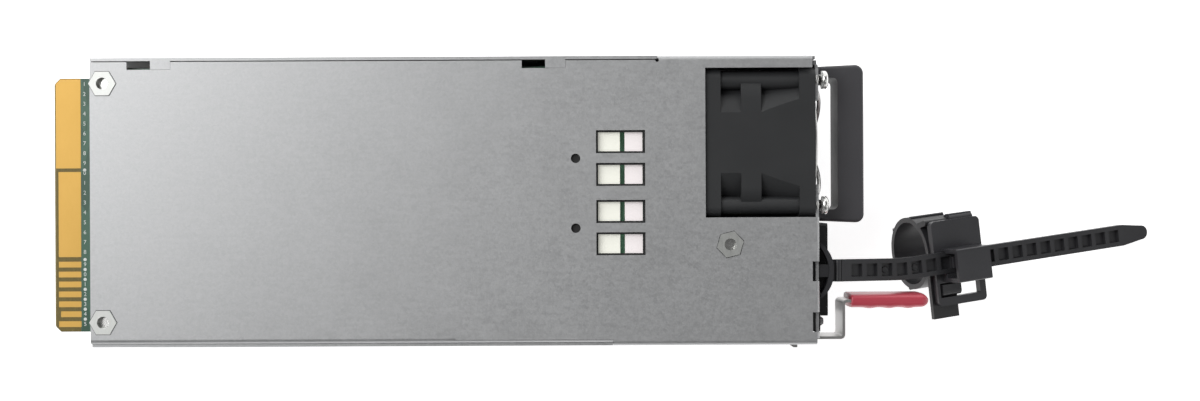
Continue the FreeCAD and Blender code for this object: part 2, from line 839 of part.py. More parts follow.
def fan_housing():
    # square flanges and web, round duct with a flare towards the front, corner tubes
    half = fan_size / 2
    axis_rear = Vector(fan_rear, fan_y, fan_z)
    axis_front = Vector(fan_front, fan_y, fan_z)
    bounds = block(fan_rear, fan_front, fan_y - half, fan_y + half, fan_z - half, fan_z + half)
    duct = rod(duct_radius, axis_rear, axis_front).common(bounds)
    flare_start = fan_rear + web_start + web_thick
    flare_end = fan_front - front_flange_thick
    flare = Part.makeCone(duct_radius, half + flare_reach, flare_end - flare_start,
                          Vector(flare_start, fan_y, fan_z), X)
    tubes = [rod(tube_radius, Vector(fan_rear, y, z), Vector(fan_front, y, z)) for y, z in screw_places()]
    shell = joined([fan_plate(fan_rear, rear_flange_thick, flange_corner),
                    fan_plate(fan_rear + web_start, web_thick, 3 * flange_corner),
                    fan_plate(fan_front - front_flange_thick, front_flange_thick, flange_corner),
                    duct, flare.common(bounds)] + tubes)
    tools = [rod(fan_bore_radius, axis_rear - X, axis_front + X)]
    tools += [rod(fan_screw_radius + fan_screw_clearance, Vector(fan_rear - 1, y, z),
                  Vector(fan_front + 1, y, z)) for y, z in screw_places()]
    shell = shell.cut(Part.makeCompound(tools))
    # motor base on struts across the rear
    base = rod(motor_radius, axis_rear, axis_rear + X * motor_base_thick)
    tube_end = fan_front - hub_front_gap - hub_face - 1.0
    post = rod(bearing_tube_radius, axis_rear, Vector(tube_end, fan_y, fan_z))
    struts = []
    for number in range(strut_count):
        arm = block(fan_rear, fan_rear + motor_base_thick, fan_y, fan_y + fan_bore_radius + 0.4,
                    fan_z - strut_width / 2, fan_z + strut_width / 2)
        arm.rotate(axis_rear, X, 45 + 360 / strut_count * number)
        struts.append(arm)
    frame = joined([shell, base, post] + struts)
    seats = rod(bearing_radius + 0.01, axis_rear + X * 0.6, Vector(tube_end + 1, fan_y, fan_z))
    return frame.cut(seats)


def hub_span():
    return fan_rear + motor_base_thick + hub_rear_gap, fan_front - hub_front_gap


def rotor_blade():
    # twisted blade: a cambered section at the root and one at the tip, joined by ruled faces
    hub_start, hub_end = hub_span()
    middle = (hub_start + hub_end) / 2
    tip = fan_bore_radius - blade_tip_gap
    sections = []
    for share in (0.0, 1.0):
        radius = hub_radius - 0.6 + share * (tip + 0.8 - hub_radius)
        angle = math.radians(blade_root_angle + share * (blade_tip_angle - blade_root_angle))
        # the chord keeps the same axial span, so it grows with the angle's tangent
        half_span = blade_span / 2
        half_wide = half_span * math.tan(angle) * 0.9
        across = blade_thick / 2
        camber = 0.9
        upper = [(-half_span, -half_wide), (0, camber + across), (half_span, half_wide)]
        lower = [(half_span, half_wide), (0, camber - across), (-half_span, -half_wide)]
        edges = []
        for line in (upper, lower):
            spots = [Vector(middle + a, fan_y + b, fan_z + radius) for a, b in line]
            edges.append(Part.Arc(*spots).toShape())
        sections.append(Part.Wire(edges))
    return Part.makeLoft(sections, True, True)


def fan_rotor():
    hub_start, hub_end = hub_span()
    start = Vector(hub_start, fan_y, fan_z)
    end = Vector(hub_end, fan_y, fan_z)
    hub = rod(hub_radius, start, end)
    hub = hub.makeChamfer(0.8, [e for e in hub.Edges if abs(e.CenterOfMass.x - hub_end) < 0.01])
    blades = []
    reach = rod(fan_bore_radius - blade_tip_gap, start - X * 5, end + X * 5)
    for number in range(blade_count):
        blade = rotor_blade()
        blade.rotate(start, X, 360 / blade_count * number)
        blades.append(blade.common(reach))
    body = joined([hub] + blades)
    cavity = rod(hub_radius - hub_wall, start - X * 6, end - X * hub_face)
    body = body.cut(cavity)
    boss = rod(shaft_radius + 1.2, end - X * (hub_face + 0.4), end - X * (hub_face / 2))
    hole = rod(shaft_radius, start, end - X * (hub_face / 2))
    return joined([body, boss]).cut(hole)


def shaft_span():
    hub_start, hub_end = hub_span()
    return Vector(fan_rear + 1.0, fan_y, fan_z), Vector(hub_end - hub_face / 2, fan_y, fan_z)


def fan_shaft():
    start, end = shaft_span()
    return rod(shaft_radius, start, end)


def bearing_places():
    tube_end = fan_front - hub_front_gap - hub_face - 1.0
    return (fan_rear + 1.6, tube_end - bearing_length - 0.6)


def fan_bearings():
    pieces = []
    for x in bearing_places():
        start = Vector(x, fan_y, fan_z)
        pieces.append(tube(bearing_radius, shaft_radius + shaft_fit, start, start + X * bearing_length))
    return pieces


def fan_stator():
    hub_start, hub_end = hub_span()
    start = Vector(hub_start + 2.0, fan_y, fan_z)
    core = tube(stator_radius, bearing_tube_radius + 0.02, start, start + X * stator_length)
    slots = []
    for number in range(4):
        slot = block(start.x - 1, start.x + stator_length + 1, fan_y + bearing_tube_radius + 1.4,
                     fan_y + stator_radius + 1, fan_z - 1.1, fan_z + 1.1)
        slot.rotate(start, X, 90 * number)
        slots.append(slot)
    return core.cut(Part.makeCompound(slots))


def fan_board():
    start = Vector(fan_rear + motor_base_thick, fan_y, fan_z)
    return tube(fan_board_radius, bearing_tube_radius + 0.02, start, start + X * fan_board_thick)


def guard_ring(radius, x):
    # flattened wire, bent round the fan's axis
    start = Vector(x - wire_radius, fan_y, fan_z)
    end = Vector(x + wire_radius * 0.9, fan_y, fan_z)
    return tube(radius + wire_radius, radius - wire_radius, start, end)


def fan_guard():
    ring_x = front_x + guard_ring_offset
    spoke_x = front_x + guard_spoke_offset
    outermost = fan_bore_radius - guard_ring_inset
    radii = [outermost - number * guard_ring_pitch for number in range(guard_ring_count)]
    rings = [guard_ring(radius, ring_x) for radius in radii]
    corner = screw_spacing / math.sqrt(2)
    spokes = []
    eyelets = []
    for y, z in screw_places():
        seat = Vector(spoke_x, y, z)
        centre = Vector(spoke_x, fan_y, fan_z)
        inward = (centre - seat).normalize()
        reach = corner - radii[-1] - eyelet_radius + eyelet_bite
        spokes.append(hexagon(guard_bar_across, seat + inward * (eyelet_radius - eyelet_bite),
                              inward * reach, turn=bar_turn))
        flat = Vector(front_x, y, z)
        eyelets.append(tube(eyelet_radius, eyelet_bore_radius, flat, flat + X * 2 * wire_radius))
    return joined(rings + spokes + eyelets)


def fan_screws():
    pieces = []
    for y, z in screw_places():
        seat = Vector(front_x + 2 * wire_radius, y, z)
        rim = rod(fan_head_radius, seat, seat + X * fan_head_height / 2)
        crown = Part.makeCone(fan_head_radius, fan_head_radius - 0.9, fan_head_height / 2,
                              seat + X * fan_head_height / 2, X)
        head = rim.fuse(crown)
        shank = rod(fan_screw_radius, seat - X * fan_screw_length, seat)
        pieces.append(joined([head, shank]))
    return pieces


# Handle

def handle():
    # U-shaped pull whose legs narrow towards a hooked foot
    z0 = handle_z - handle_height / 2
    z1 = handle_z + handle_height / 2
    end_x = front_x + handle_reach
    foot = leg_face - handle_taper
    outline = [Vector(front_x, fan_y - foot, z0), Vector(end_x, fan_y - leg_face, z0),
               Vector(end_x, fan_y + leg_face, z0), Vector(front_x, fan_y + foot, z0)]
    outer = prism(outline, Z * handle_height)
    outer = rounded(outer, handle_corner, lambda e: runs_along(e, Z) and e.CenterOfMass.x > front_x + 1)
    outer = rounded(outer, handle_edge, lambda e: abs(e.CenterOfMass.z - handle_z) > handle_height / 2 - 0.01
                    and e.CenterOfMass.x > front_x + 0.01)
    gap = block(front_x - 1, end_x - handle_bar, fan_y - leg_face + leg_thick,
                fan_y + leg_face - leg_thick, z0 - 1, z1 + 1)
    gap = rounded(gap, handle_inner_corner, lambda e: runs_along(e, Z) and e.CenterOfMass.x > front_x + 1)
    return joined([outer.cut(gap)] + handle_hook(-1) + handle_hook(1))


def handle_hook(side):
    # two prongs that spring together as they pass the case's front, each with a barb behind it
    y0 = fan_y + side * (fan_size / 2 + hook_gap)
    x0 = panel_x - hook_length
    prongs = []
    for end in (-1, 1):
        inner = handle_z + end * hook_split / 2
        outer = handle_z + end * hook_height / 2
        outline = [Vector(front_x + 1, y0, inner), Vector(x0, y0, inner),
                   Vector(x0, y0, outer - end * hook_lead), Vector(panel_x - 0.1, y0, outer + end * hook_barb),
                   Vector(panel_x - 0.1, y0, outer), Vector(front_x + 1, y0, outer)]
        prongs.append(prism(outline, Y * side * hook_thick))
    return prongs


# Mains inlet

def inlet_housing():
    face = front_x + inlet_flange
    flange = block(front_x, face, inlet_y - inlet_width / 2, inlet_y + inlet_width / 2,
                   inlet_z - inlet_height / 2, inlet_z + inlet_height / 2)
    flange = rounded(flange, inlet_corner, lambda e: runs_along(e, X))
    body = block(front_x - inlet_body_length, front_x, inlet_y - inlet_body_width / 2,
                 inlet_y + inlet_body_width / 2, inlet_z - inlet_body_height / 2,
                 inlet_z + inlet_body_height / 2)
    half_y = well_width / 2
    half_z = well_height / 2
    outline = [(-half_y, -half_z), (half_y - well_chamfer, -half_z), (half_y, -half_z + well_chamfer),
               (half_y, half_z - well_chamfer), (half_y - well_chamfer, half_z), (-half_y, half_z)]
    points = [Vector(face - well_depth, inlet_y + y, inlet_z + z) for y, z in outline]
    well = prism(points, X * (well_depth + 1))
    slots = [block(front_x - inlet_body_length - 1, face, y - blade_wide / 2, y + blade_wide / 2,
                   z - blade_deep / 2, z + blade_deep / 2) for y, z in blade_places()]
    return joined([flange, body]).cut(Part.makeCompound([well] + slots))


def blade_places():
    # line, neutral, earth; the earth blade stands towards the chamfered side
    return [(inlet_y - live_shift, inlet_z + live_pitch), (inlet_y - live_shift, inlet_z - live_pitch),
            (inlet_y + live_shift, inlet_z)]


def inlet_blade(y, z):
    tip = front_x + inlet_flange - blade_recess
    foot = front_x - inlet_body_length
    blade = block(foot, tip, y - blade_wide / 2, y + blade_wide / 2, z - blade_deep / 2,
                  z + blade_deep / 2)
    blade = blade.makeChamfer(0.4, [e for e in blade.Edges if abs(e.CenterOfMass.x - tip) < 0.01])
    terminal = block(foot - terminal_length, foot, y - blade_wide / 2, y + blade_wide / 2,
                     z - terminal_thick / 2, z + terminal_thick / 2)
    eye = rod(0.8, Vector(foot - terminal_length / 2, y, z - 2), Vector(foot - terminal_length / 2, y, z + 2))
    return joined([blade, terminal]).cut(eye)


# Status light

def led_lens():
    back = Vector(front_x - board_ear_gap + chip_length + 0.2, light_y, light_z)
    face = Vector(front_x + 0.4, light_y, light_z)
    pipe = rod(pipe_radius, back, face)
    dome = Part.makeCone(lens_radius, lens_radius * 0.5, lens_proud, face, X)
    return joined([pipe, dome])


def led_holder():
    back = front_x - holder_length
    body = block(back, front_x + 0.4, light_y - holder_width / 2, light_y + holder_width / 2,
                 light_z - holder_height / 2, light_z + holder_height / 2)
    rim = block(panel_x - 1.0, panel_x - 0.05, light_y - holder_width / 2,
                light_y + holder_width / 2 + 0.6, light_z - holder_height / 2,
                light_z + holder_height / 2 + 0.6)
    bore = rod(pipe_radius + 0.03, Vector(back - 1, light_y, light_z), Vector(front_x + 1, light_y, light_z))
    return joined([body, rim]).cut(bore)


def led_chip():
    x0 = front_x - board_ear_gap
    return block(x0, x0 + chip_length, light_y - chip_width / 2, light_y + chip_width / 2,
                 light_z - chip_height, light_z + chip_height)


# Latch

def strip(points, thick, radius, z0, z1):
    # bent strip: the points are its outer face, offset inwards by its thickness
    outer = [Vector(x, y, z0) for x, y in points]
    inner = []
    for number, spot in enumerate(outer):
        before = (spot - outer[number - 1]).normalize() if number else None
        after = (outer[number + 1] - spot).normalize() if number + 1 < len(outer) else None
        before = before or after
        after = after or before
        normal = Z.cross(before) + Z.cross(after)
        inner.append(spot + normal * (thick / (1 + before.dot(after))))
    body = prism(outer + inner[::-1], Z * (z1 - z0))
    corners = outer[1:-1]
    bends = inner[1:-1]
    body = rounded(body, radius + thick, lambda e: runs_along(e, Z) and is_outside(e, corners, bends))
    return rounded(body, radius, lambda e: runs_along(e, Z) and not is_outside(e, corners, bends)
                   and near_any(e, corners + bends))


def near_any(edge, spots):
    flat = Vector(edge.CenterOfMass.x, edge.CenterOfMass.y, 0)
    return any((Vector(spot.x, spot.y, 0) - flat).Length < 0.01 for spot in spots)


def is_outside(edge, corners, bends):
    # the outer side of each bend lies on the side that the strip turns away from
    return (near_any(edge, corners[:1]) or near_any(edge, bends[1:]))


def latch_spring():
    outer_y = latch_y - latch_thick
    reach_x = front_x + latch_reach
    grip_y = outer_y + latch_step
    tang_end = reach_x + grip_start + grip_length - 2.0
    body = strip([(pivot_x - latch_tail, outer_y), (reach_x, outer_y), (reach_x, grip_y),
                  (tang_end, grip_y)], latch_thick, latch_bend - latch_thick, latch_bottom, latch_top)
    # ramped hook, lanced out through the case side
    foot = front_x - hook_start - hook_run
    heel = front_x - hook_start
    proud = -side_y - hook_tip
    points = [(foot, latch_y - 0.1), (foot, outer_y), (heel - 1.0, proud), (heel, proud),
              (heel, latch_y - 0.1)]
    hook = prism([Vector(x, y, latch_bottom + 2.0) for x, y in points], Z * (latch_height - 4.0))
    hole = rod(rivet_radius + rivet_fit, Vector(pivot_x, -side_y - 2, latch_middle()),
               Vector(pivot_x, -side_y + 4, latch_middle()))
    return joined([body, hook]).cut(hole)


def latch_rivet():
    low = Vector(pivot_x, -side_y, latch_middle())
    seat = Vector(pivot_x, latch_y + rivet_slack, latch_middle())
    shank = rod(rivet_radius, low, seat)
    return joined([shank, rod(rivet_head_radius, seat, seat + Y * rivet_head_height)])


def latch_grip():
    # moulded sleeve over the strip's free end
    x0 = front_x + latch_reach + grip_start
    middle_y = latch_y - latch_thick / 2 + latch_step
    y0 = middle_y - grip_thick / 2
    y1 = middle_y + grip_thick / 2
    z0 = latch_bottom - 0.6
    z1 = latch_top + 0.6
    body = block(x0, x0 + grip_length, y0, y1, z0, z1)
    body = rounded(body, grip_thick / 2 - 0.05,
                   lambda e: runs_along(e, Z) and e.CenterOfMass.x > x0 + grip_length - 0.01)
    body = rounded(body, 0.6, lambda e: abs(e.CenterOfMass.z - latch_middle()) > latch_height / 2 + 0.5)
    ribs = []
    for number in range(grip_ribs):
        x = x0 + grip_length * (number + 1) / (grip_ribs + 1)
        y = y0 + grip_rib_radius - grip_rib_proud
        ribs.append(rod(grip_rib_radius, Vector(x, y, z0 + 1.5), Vector(x, y, z1 - 1.5)))
    gap = grip_tang_gap
    sleeve = block(x0 - 1, x0 + grip_length - 2.0 + gap, middle_y - latch_thick / 2 - gap,
                   middle_y + latch_thick / 2 + gap, latch_bottom - gap, latch_top + gap)
    return joined([body] + ribs).cut(sleeve)


# Strap and its anchor

def strap_outline():
    half = strap_width / 2
    end, turn = strap_point(strap_length)
    shoulder = strap_point(strap_length - strap_tip_taper)[0]
    along = Vector(math.cos(math.radians(turn)), math.sin(math.radians(turn)), 0)
    across = Vector(-along.y, along.x, 0)
    arc_start = Vector(strap_straight, 0, 0)
    arc_end = strap_point(strap_straight + strap_bend_length)[0]
    arc_middle = strap_point(strap_straight + strap_bend_length / 2)
    middle_across = Rotation(Z, arc_middle[1]).multVec(Y)
    cap = end - along * strap_tip_radius
    corner = [Vector(0, half, 0), arc_start + Y * half, arc_end + across * half,
              shoulder + across * half, cap + across * strap_tip_radius]
    other = [Vector(0, -half, 0), arc_start - Y * half, arc_end - across * half,
             shoulder - across * half, cap - across * strap_tip_radius]
    edges = [Part.LineSegment(other[0], other[1]).toShape(),
             Part.Arc(other[1], arc_middle[0] - middle_across * half, other[2]).toShape(),
             Part.LineSegment(other[2], other[3]).toShape(),
             Part.LineSegment(other[3], other[4]).toShape(),
             Part.Arc(other[4], end, corner[4]).toShape(),
             Part.LineSegment(corner[4], corner[3]).toShape(),
             Part.LineSegment(corner[3], corner[2]).toShape(),
             Part.Arc(corner[2], arc_middle[0] + middle_across * half, corner[1]).toShape(),
             Part.LineSegment(corner[1], corner[0]).toShape(),
             Part.LineSegment(corner[0], other[0]).toShape()]
    return Part.Wire(edges)


def strap():
    # ladder strap: a flat band with a row of pockets and floors below them
    band = Part.Face(strap_outline()).extrude(Z * strap_thick)
    band.translate(Vector(0, 0, -strap_thick / 2))
    clear = nose_radius + nose_gap
    tools = [rod(clear, Vector(0, -strap_width, 0), Vector(0, strap_width, 0))]
    station = pocket_start
    while station < strap_length - pocket_end_gap:
        place, turn = strap_point(station + pocket_length / 2)
        pocket = block(-pocket_length / 2, pocket_length / 2, -pocket_width / 2, pocket_width / 2,
                       strap_thick / 2 - pocket_depth, strap_thick)
        pocket.Placement = Placement(place, Rotation(Z, turn))
        tools.append(pocket)
        station += rung_pitch
    band = band.cut(Part.makeCompound(tools))
    band.Placement = strap_place
    return band


def strap_anchor():
    # round nose for the strap, neck, two spring wings and an arrowhead behind the panel
    x, y, z = strap_root
    nose = rod(nose_radius, Vector(x, y - strap_width / 2, z), Vector(x, y + strap_width / 2, z))
    half = neck_width / 2
    back = x - nose_radius - nose_gap - 0.2
    neck = block(panel_x - arrow_length, back, y - half, y + half, z - half, z + half)
    root = block(back - 0.5, x - 0.5, y - strap_width / 2, y + strap_width / 2, z - nose_radius / 2,
                 z + nose_radius / 2)
    wing_x = front_x + wing_rest
    wings = []
    for side in (-1, 1):
        tip_y = y + side * (wing_span / 2 - wing_thick)
        shoulder = back - 0.9
        outer = [Vector(back, y, 0), Vector(shoulder, y + side * wing_span * 0.3, 0),
                 Vector(wing_x, tip_y + side * wing_thick, 0)]
        inner = [Vector(back - wing_thick, y, 0),
                 Vector(shoulder - wing_thick, y + side * (wing_span * 0.3 - 0.6), 0),
                 Vector(wing_x, tip_y, 0)]
        edges = [Part.Arc(*outer).toShape(), Part.LineSegment(outer[2], inner[2]).toShape(),
                 Part.Arc(*inner[::-1]).toShape(), Part.LineSegment(inner[0], outer[0]).toShape()]
        wing = Part.Face(Part.Wire(edges)).extrude(Z * wing_height)
        wing.translate(Z * (z - wing_height / 2))
        wings.append(wing)
    barb_back = panel_x - arrow_length
    arrows = []
    for side in (-1, 1):
        points = [(barb_back, y), (barb_back, y + side * half * 0.6),
                  (panel_x - 0.1, y + side * arrow_width / 2), (panel_x - 0.1, y)]
        arrows.append(prism([Vector(a, b, z - half) for a, b in points], Z * neck_width))
    return joined([nose, neck, root] + wings + arrows)


# Cord clip and its jaw, modelled along the strap and then placed on it

def plate_low():
    return -strap_thick / 2 - strap_fit - plate_thick


def clip_window():
    x1 = clip_front - frame_end
    x0 = x1 - window_frame_length
    y0 = -plate_right + frame_bar
    return x0, x1, y0, y0 + window_frame_width


def cord_clip():
    top = plate_low() + plate_thick
    plate = block(-clip_back, clip_front, -plate_right, plate_left, plate_low(), top)
    plate = rounded(plate, plate_corner, lambda e: runs_along(e, Z))
    x0, x1, y0, y1 = clip_window()
    gap = block(x0, x1, y0, y1, plate_low() - 1, top + 1)
    middle = box_offset
    left, right = middle + box_width / 2, middle - box_width / 2
    box = block(-box_back, -box_back + box_length, right, left, top - 0.2, top + box_height)
    box = rounded(box, 0.5, lambda e: runs_along(e, X) and e.CenterOfMass.z > top + 1)
    tunnel = strap_width / 2 + strap_fit
    clear = block(-box_back - 1, -box_back + box_length + 1, -tunnel, tunnel, top,
                  strap_thick / 2 + strap_fit)
    hollow = block(-box_back - 1, -box_back + box_length - box_wall, right + box_wall, left - box_wall,
                   strap_thick / 2, top + box_height - box_roof)
    # pawl that a fingertip lifts, held by the box's far wall
    half = pawl_width / 2
    tip = -box_back + pawl_setback
    low = strap_thick / 2 + strap_fit + pawl_fit
    high = low + pawl_tooth
    pawl = block(tip, -box_back + box_length - box_wall + 0.1, -half, half, high, high + pawl_thick)
    tooth = prism([Vector(tip, -half, high + 0.1), Vector(tip + tooth_ramp, -half, low),
                   Vector(tip + tooth_length, -half, low), Vector(tip + tooth_length, -half, high + 0.1)],
                  Y * pawl_width)
    body = joined([plate.cut(gap), box]).cut(Part.makeCompound([clear, hollow]))
    # knuckle for the loop along the plate's left edge
    hinge = hinge_line()
    rear = Vector(clip_front - hinge_end - knuckle_length, hinge.y, hinge.z)
    front = Vector(clip_front - hinge_end, hinge.y, hinge.z)
    outer = loop_hinge_radius + hinge_wall
    knuckle = rod(outer, rear, front)
    web = block(rear.x, front.x, hinge.y - outer, hinge.y + outer, hinge.z, plate_low() + 0.1)
    bore = rod(loop_hinge_radius + hinge_fit, rear - X, front + X)
    body = joined([body, pawl, tooth, knuckle, web]).cut(bore)
    body.Placement = strap_frame(clip_station)
    return body


def hinge_line():
    return Vector(0, plate_left - hinge_inset, plate_low() - hinge_drop)


def loop_centre():
    return Vector(0, loop_offset, plate_low() - loop_gap - loop_radius)


def clip_jaw():
    centre = loop_centre()
    start = Vector(-loop_length, centre.y, centre.z)
    end = Vector(0, centre.y, centre.z)
    ring = tube(loop_radius, loop_radius - loop_wall, start, end)
    hinge = hinge_line()
    pin = rod(loop_hinge_radius, Vector(-loop_length, hinge.y, hinge.z),
              Vector(clip_front - hinge_end, hinge.y, hinge.z))
    # arm from the pin down to the loop's side
    angle = math.radians(arm_angle)
    foot_y = centre.y + (loop_radius - loop_wall / 2) * math.cos(angle)
    foot_z = centre.z + (loop_radius - loop_wall / 2) * math.sin(angle)
    half = arm_thick / 2
    arm = prism([Vector(-loop_length, hinge.y - half, hinge.z), Vector(-loop_length, hinge.y + half, hinge.z),
                 Vector(-loop_length, foot_y + arm_outside, foot_z),
                 Vector(-loop_length, foot_y - arm_inside, foot_z)],
                X * (loop_length - arm_knuckle_gap))
    # flat tongue under the clip's frame, its tail for a fingertip and the catch in the window
    top = plate_low() - loop_gap
    tongue_x0 = -loop_length - tongue_overhang
    tongue = block(tongue_x0, tongue_x0 + tongue_length, -plate_right - tail_reach, loop_offset - tongue_root,
                   top - tongue_thick, top)
    x0, x1, y0, y1 = clip_window()
    catch = block(x0 + catch_start, tongue_x0 + tongue_length, y0 + catch_gap, y1 - catch_gap, top - 0.5,
                  top + catch_height)
    catch = rounded(catch, catch_corner, lambda e: runs_along(e, X) and e.CenterOfMass.z > top + 1
                    and e.CenterOfMass.y < y0 + 1.5)
    ridges = []
    for turn in ridge_angles:
        spin = math.radians(turn)
        y = centre.y + loop_radius * math.cos(spin)
        z = centre.z + loop_radius * math.sin(spin)
        ridges.append(rod(ridge_radius, Vector(start.x, y, z), Vector(0, y, z)))
    body = joined([ring, pin, arm, tongue, catch] + ridges)
    body.Placement = strap_frame(clip_station)
    return body


# Parts hung under the board

def below(x0, x1, y0, y1, height):
    return block(x0, x1, y0, y1, board_bottom - height, board_bottom)


def bulk_capacitors():
    x1 = front_x - bulk_front_gap
    z = board_bottom - bulk_radius
    cans = []
    for side in (-0.5, 0.5):
        y = bulk_middle_y + side * bulk_spacing
        cans.append(rod(bulk_radius, Vector(x1 - bulk_length, y, z), Vector(x1, y, z)))
    return cans


def choke_core():
    x = front_x - choke_front_gap
    top = Vector(x, choke_y, board_bottom - winding_thick)
    return tube(choke_radius - winding_thick, choke_bore, top - Z * choke_height, top)


def choke_winding():
    # wire wound round the ring, shown as separate turns standing off the core
    x = front_x - choke_front_gap
    top = board_bottom - winding_thick
    turns = []
    bore_leg = x + choke_bore - winding_gap
    half = winding_wide / 2
    outer = block(bore_leg - winding_thick, x + choke_radius, choke_y - half, choke_y + half,
                  top - choke_height - winding_thick, board_bottom)
    inner = block(bore_leg, x + choke_radius - winding_thick, choke_y - half - 1, choke_y + half + 1,
                  top - choke_height, top)
    for number in range(winding_turns):
        turn = outer.cut(inner)
        turn.rotate(Vector(x, choke_y, 0), Z, 360 / winding_turns * number)
        turns.append(turn)
    return turns


def transformer_core():
    half = core_length / 2
    outer = below(core_x - half, core_x + half, core_y - core_width / 2, core_y + core_width / 2,
                  core_height)
    inner = block(core_x - half + core_leg, core_x + half - core_leg, core_y - core_width, core_y + core_width,
                  board_bottom - core_height + core_leg / 2, board_bottom - core_leg / 2)
    post = rod(core_leg, Vector(core_x, core_y, board_bottom - core_height),
               Vector(core_x, core_y, board_bottom))
    return joined([outer.cut(inner), post])


def transformer_windings():
    z0 = board_bottom - core_height + core_leg / 2 + 0.2
    z1 = board_bottom - core_leg / 2 - 0.2
    return tube(core_length / 2 - core_leg - 0.2, core_leg + 0.2, Vector(core_x, core_y, z0),
                Vector(core_x, core_y, z1))


def resonant_inductor():
    half = resonant_size / 2
    body = below(core_x - half, core_x + half, resonant_y - half, resonant_y + half, resonant_height)
    return body.cut(block(core_x - half / 2, core_x + half / 2, resonant_y - half - 1,
                          resonant_y - half + 2.5, 0, board_bottom - 2))


def filter_choke():
    x = front_x - filter_front_gap
    top = Vector(x, filter_y, board_bottom - 2)
    ring = tube(filter_core_radius, filter_core_bore, top - Z * filter_core_height, top)
    divider = block(x - filter_core_radius - 1, x + filter_core_radius + 1, filter_y - 0.7, filter_y + 0.7,
                    top.z - filter_core_height - 1, board_bottom)
    return joined([ring, divider])


def film_capacitors():
    x0 = front_x - film_cap_front_gap
    cans = []
    for number in range(2):
        y = film_cap_y + number * film_cap_pitch
        cans.append(below(x0, x0 + film_cap_length, y - film_cap_width / 2, y + film_cap_width / 2,
                          film_cap_height))
    return cans


def input_fuse():
    x1 = front_x - board_ear_gap - 4
    z = board_bottom - fuse_radius
    return rod(fuse_radius, Vector(x1 - fuse_length, fuse_y, z), Vector(x1, fuse_y, z))


def inrush_relay():
    x1 = front_x - relay_front_gap
    return below(x1 - relay_length, x1, relay_y - relay_width / 2, relay_y + relay_width / 2, relay_height)


def heatsink(x0, length, y):
    wall = below(x0, x0 + length, y - sink_thick / 2, y + sink_thick / 2, sink_height)
    fins = []
    step = (length - sink_thick) / (sink_fins - 1)
    for number in range(sink_fins):
        x = x0 + number * step
        fins.append(below(x, x + sink_thick / 2, y - sink_thick / 2 - sink_fin_reach, y, sink_height))
    return joined([wall] + fins)


def devices(x0, y):
    # power transistors clamped to the sink's flat side
    pieces = []
    for number in range(device_count):
        x = x0 + 1 + number * device_pitch
        pieces.append(below(x, x + device_width, y + sink_thick / 2, y + sink_thick / 2 + device_thick,
                            device_height))
    return pieces


def output_capacitors():
    cans = []
    for row in range(output_cap_rows):
        x = rear_x + output_cap_inset + row * output_cap_pitch
        for number in range(output_cap_count):
            y = (number - (output_cap_count - 1) / 2) * output_cap_pitch
            cans.append(rod(output_cap_radius, Vector(x, y, board_bottom - output_cap_height),
                            Vector(x, y, board_bottom)))
    return cans


def output_busbars():
    x0 = rear_x + busbar_inset
    bars = []
    for side in (-1, 1):
        y = side * busbar_y
        bars.append(below(x0, x0 + busbar_length, y - busbar_thick / 2, y + busbar_thick / 2,
                          busbar_height))
    return bars


def standby_transformer():
    x0 = rear_x + standby_inset
    return below(x0, x0 + standby_length, standby_y - standby_width / 2, standby_y + standby_width / 2,
                 standby_height)


def control_board():
    x0 = rear_x + control_inset
    return below(x0, x0 + control_length, control_y, control_y + control_thick, control_height)


def fan_header():
    x1 = front_x - board_front_gap - 1.0
    body = below(x1 - header_length, x1, header_y - header_width / 2, header_y + header_width / 2,
                 header_height)
    return body.cut(block(x1 - header_length + 1, x1 - 1, header_y - header_width / 2 + 1,
                          header_y + header_width / 2 - 1, 0, board_bottom - 1.5))


def build():
    os.makedirs("parts", exist_ok=True)
    wide_strip, narrow_strip = thermal_pads()
    primary_x = front_x - bulk_front_gap - bulk_length - 2
    secondary_x = rear_x + secondary_sink_x
    lone = {
        "base_pan": base_pan, "cover": cover, "rear_panel": rear_panel, "main_board": main_board,
        "insulation_film": insulation_film, "fan_housing": fan_housing, "fan_rotor": fan_rotor,
        "fan_shaft": fan_shaft, "fan_stator": fan_stator, "fan_board": fan_board,
        "fan_guard": fan_guard, "handle": handle, "inlet_housing": inlet_housing,
        "led_lens": led_lens, "led_holder": led_holder, "led_chip": led_chip,
        "latch_spring": latch_spring, "latch_grip": latch_grip, "latch_rivet": latch_rivet,
        "strap": strap, "strap_anchor": strap_anchor, "cord_clip": cord_clip, "clip_jaw": clip_jaw,
        "choke_core": choke_core, "transformer_core": transformer_core,
        "transformer_windings": transformer_windings, "resonant_inductor": resonant_inductor,
        "filter_choke": filter_choke, "input_fuse": input_fuse, "inrush_relay": inrush_relay,
        "standby_transformer": standby_transformer, "control_board": control_board,
        "fan_header": fan_header,
    }
    groups = {
        "cover_screws": cover_screws, "board_standoffs": board_standoffs, "board_screws": board_screws,
        "power_contacts": power_contacts, "signal_contacts": signal_contacts,
        "fan_bearings": fan_bearings, "fan_screws": fan_screws, "bulk_capacitors": bulk_capacitors,
        "choke_winding": choke_winding, "film_capacitors": film_capacitors,
        "output_capacitors": output_capacitors, "output_busbars": output_busbars,
    }
    for name, make in lone.items():
        save(name, make())
    for name, make in groups.items():
        save(name, *make())
    save("wide_pad", wide_strip)
    save("narrow_pad", narrow_strip)
    for name, (y, z) in zip(("line_blade", "neutral_blade", "earth_blade"), blade_places()):
        save(name, inlet_blade(y, z))
    save("primary_heatsink", heatsink(primary_x, sink_length, primary_sink_y))
    save("primary_transistors", *devices(primary_x, primary_sink_y))
    save("secondary_heatsink", heatsink(secondary_x, secondary_sink_length, secondary_sink_y))
    save("secondary_transistors", *devices(secondary_x, secondary_sink_y))


build()
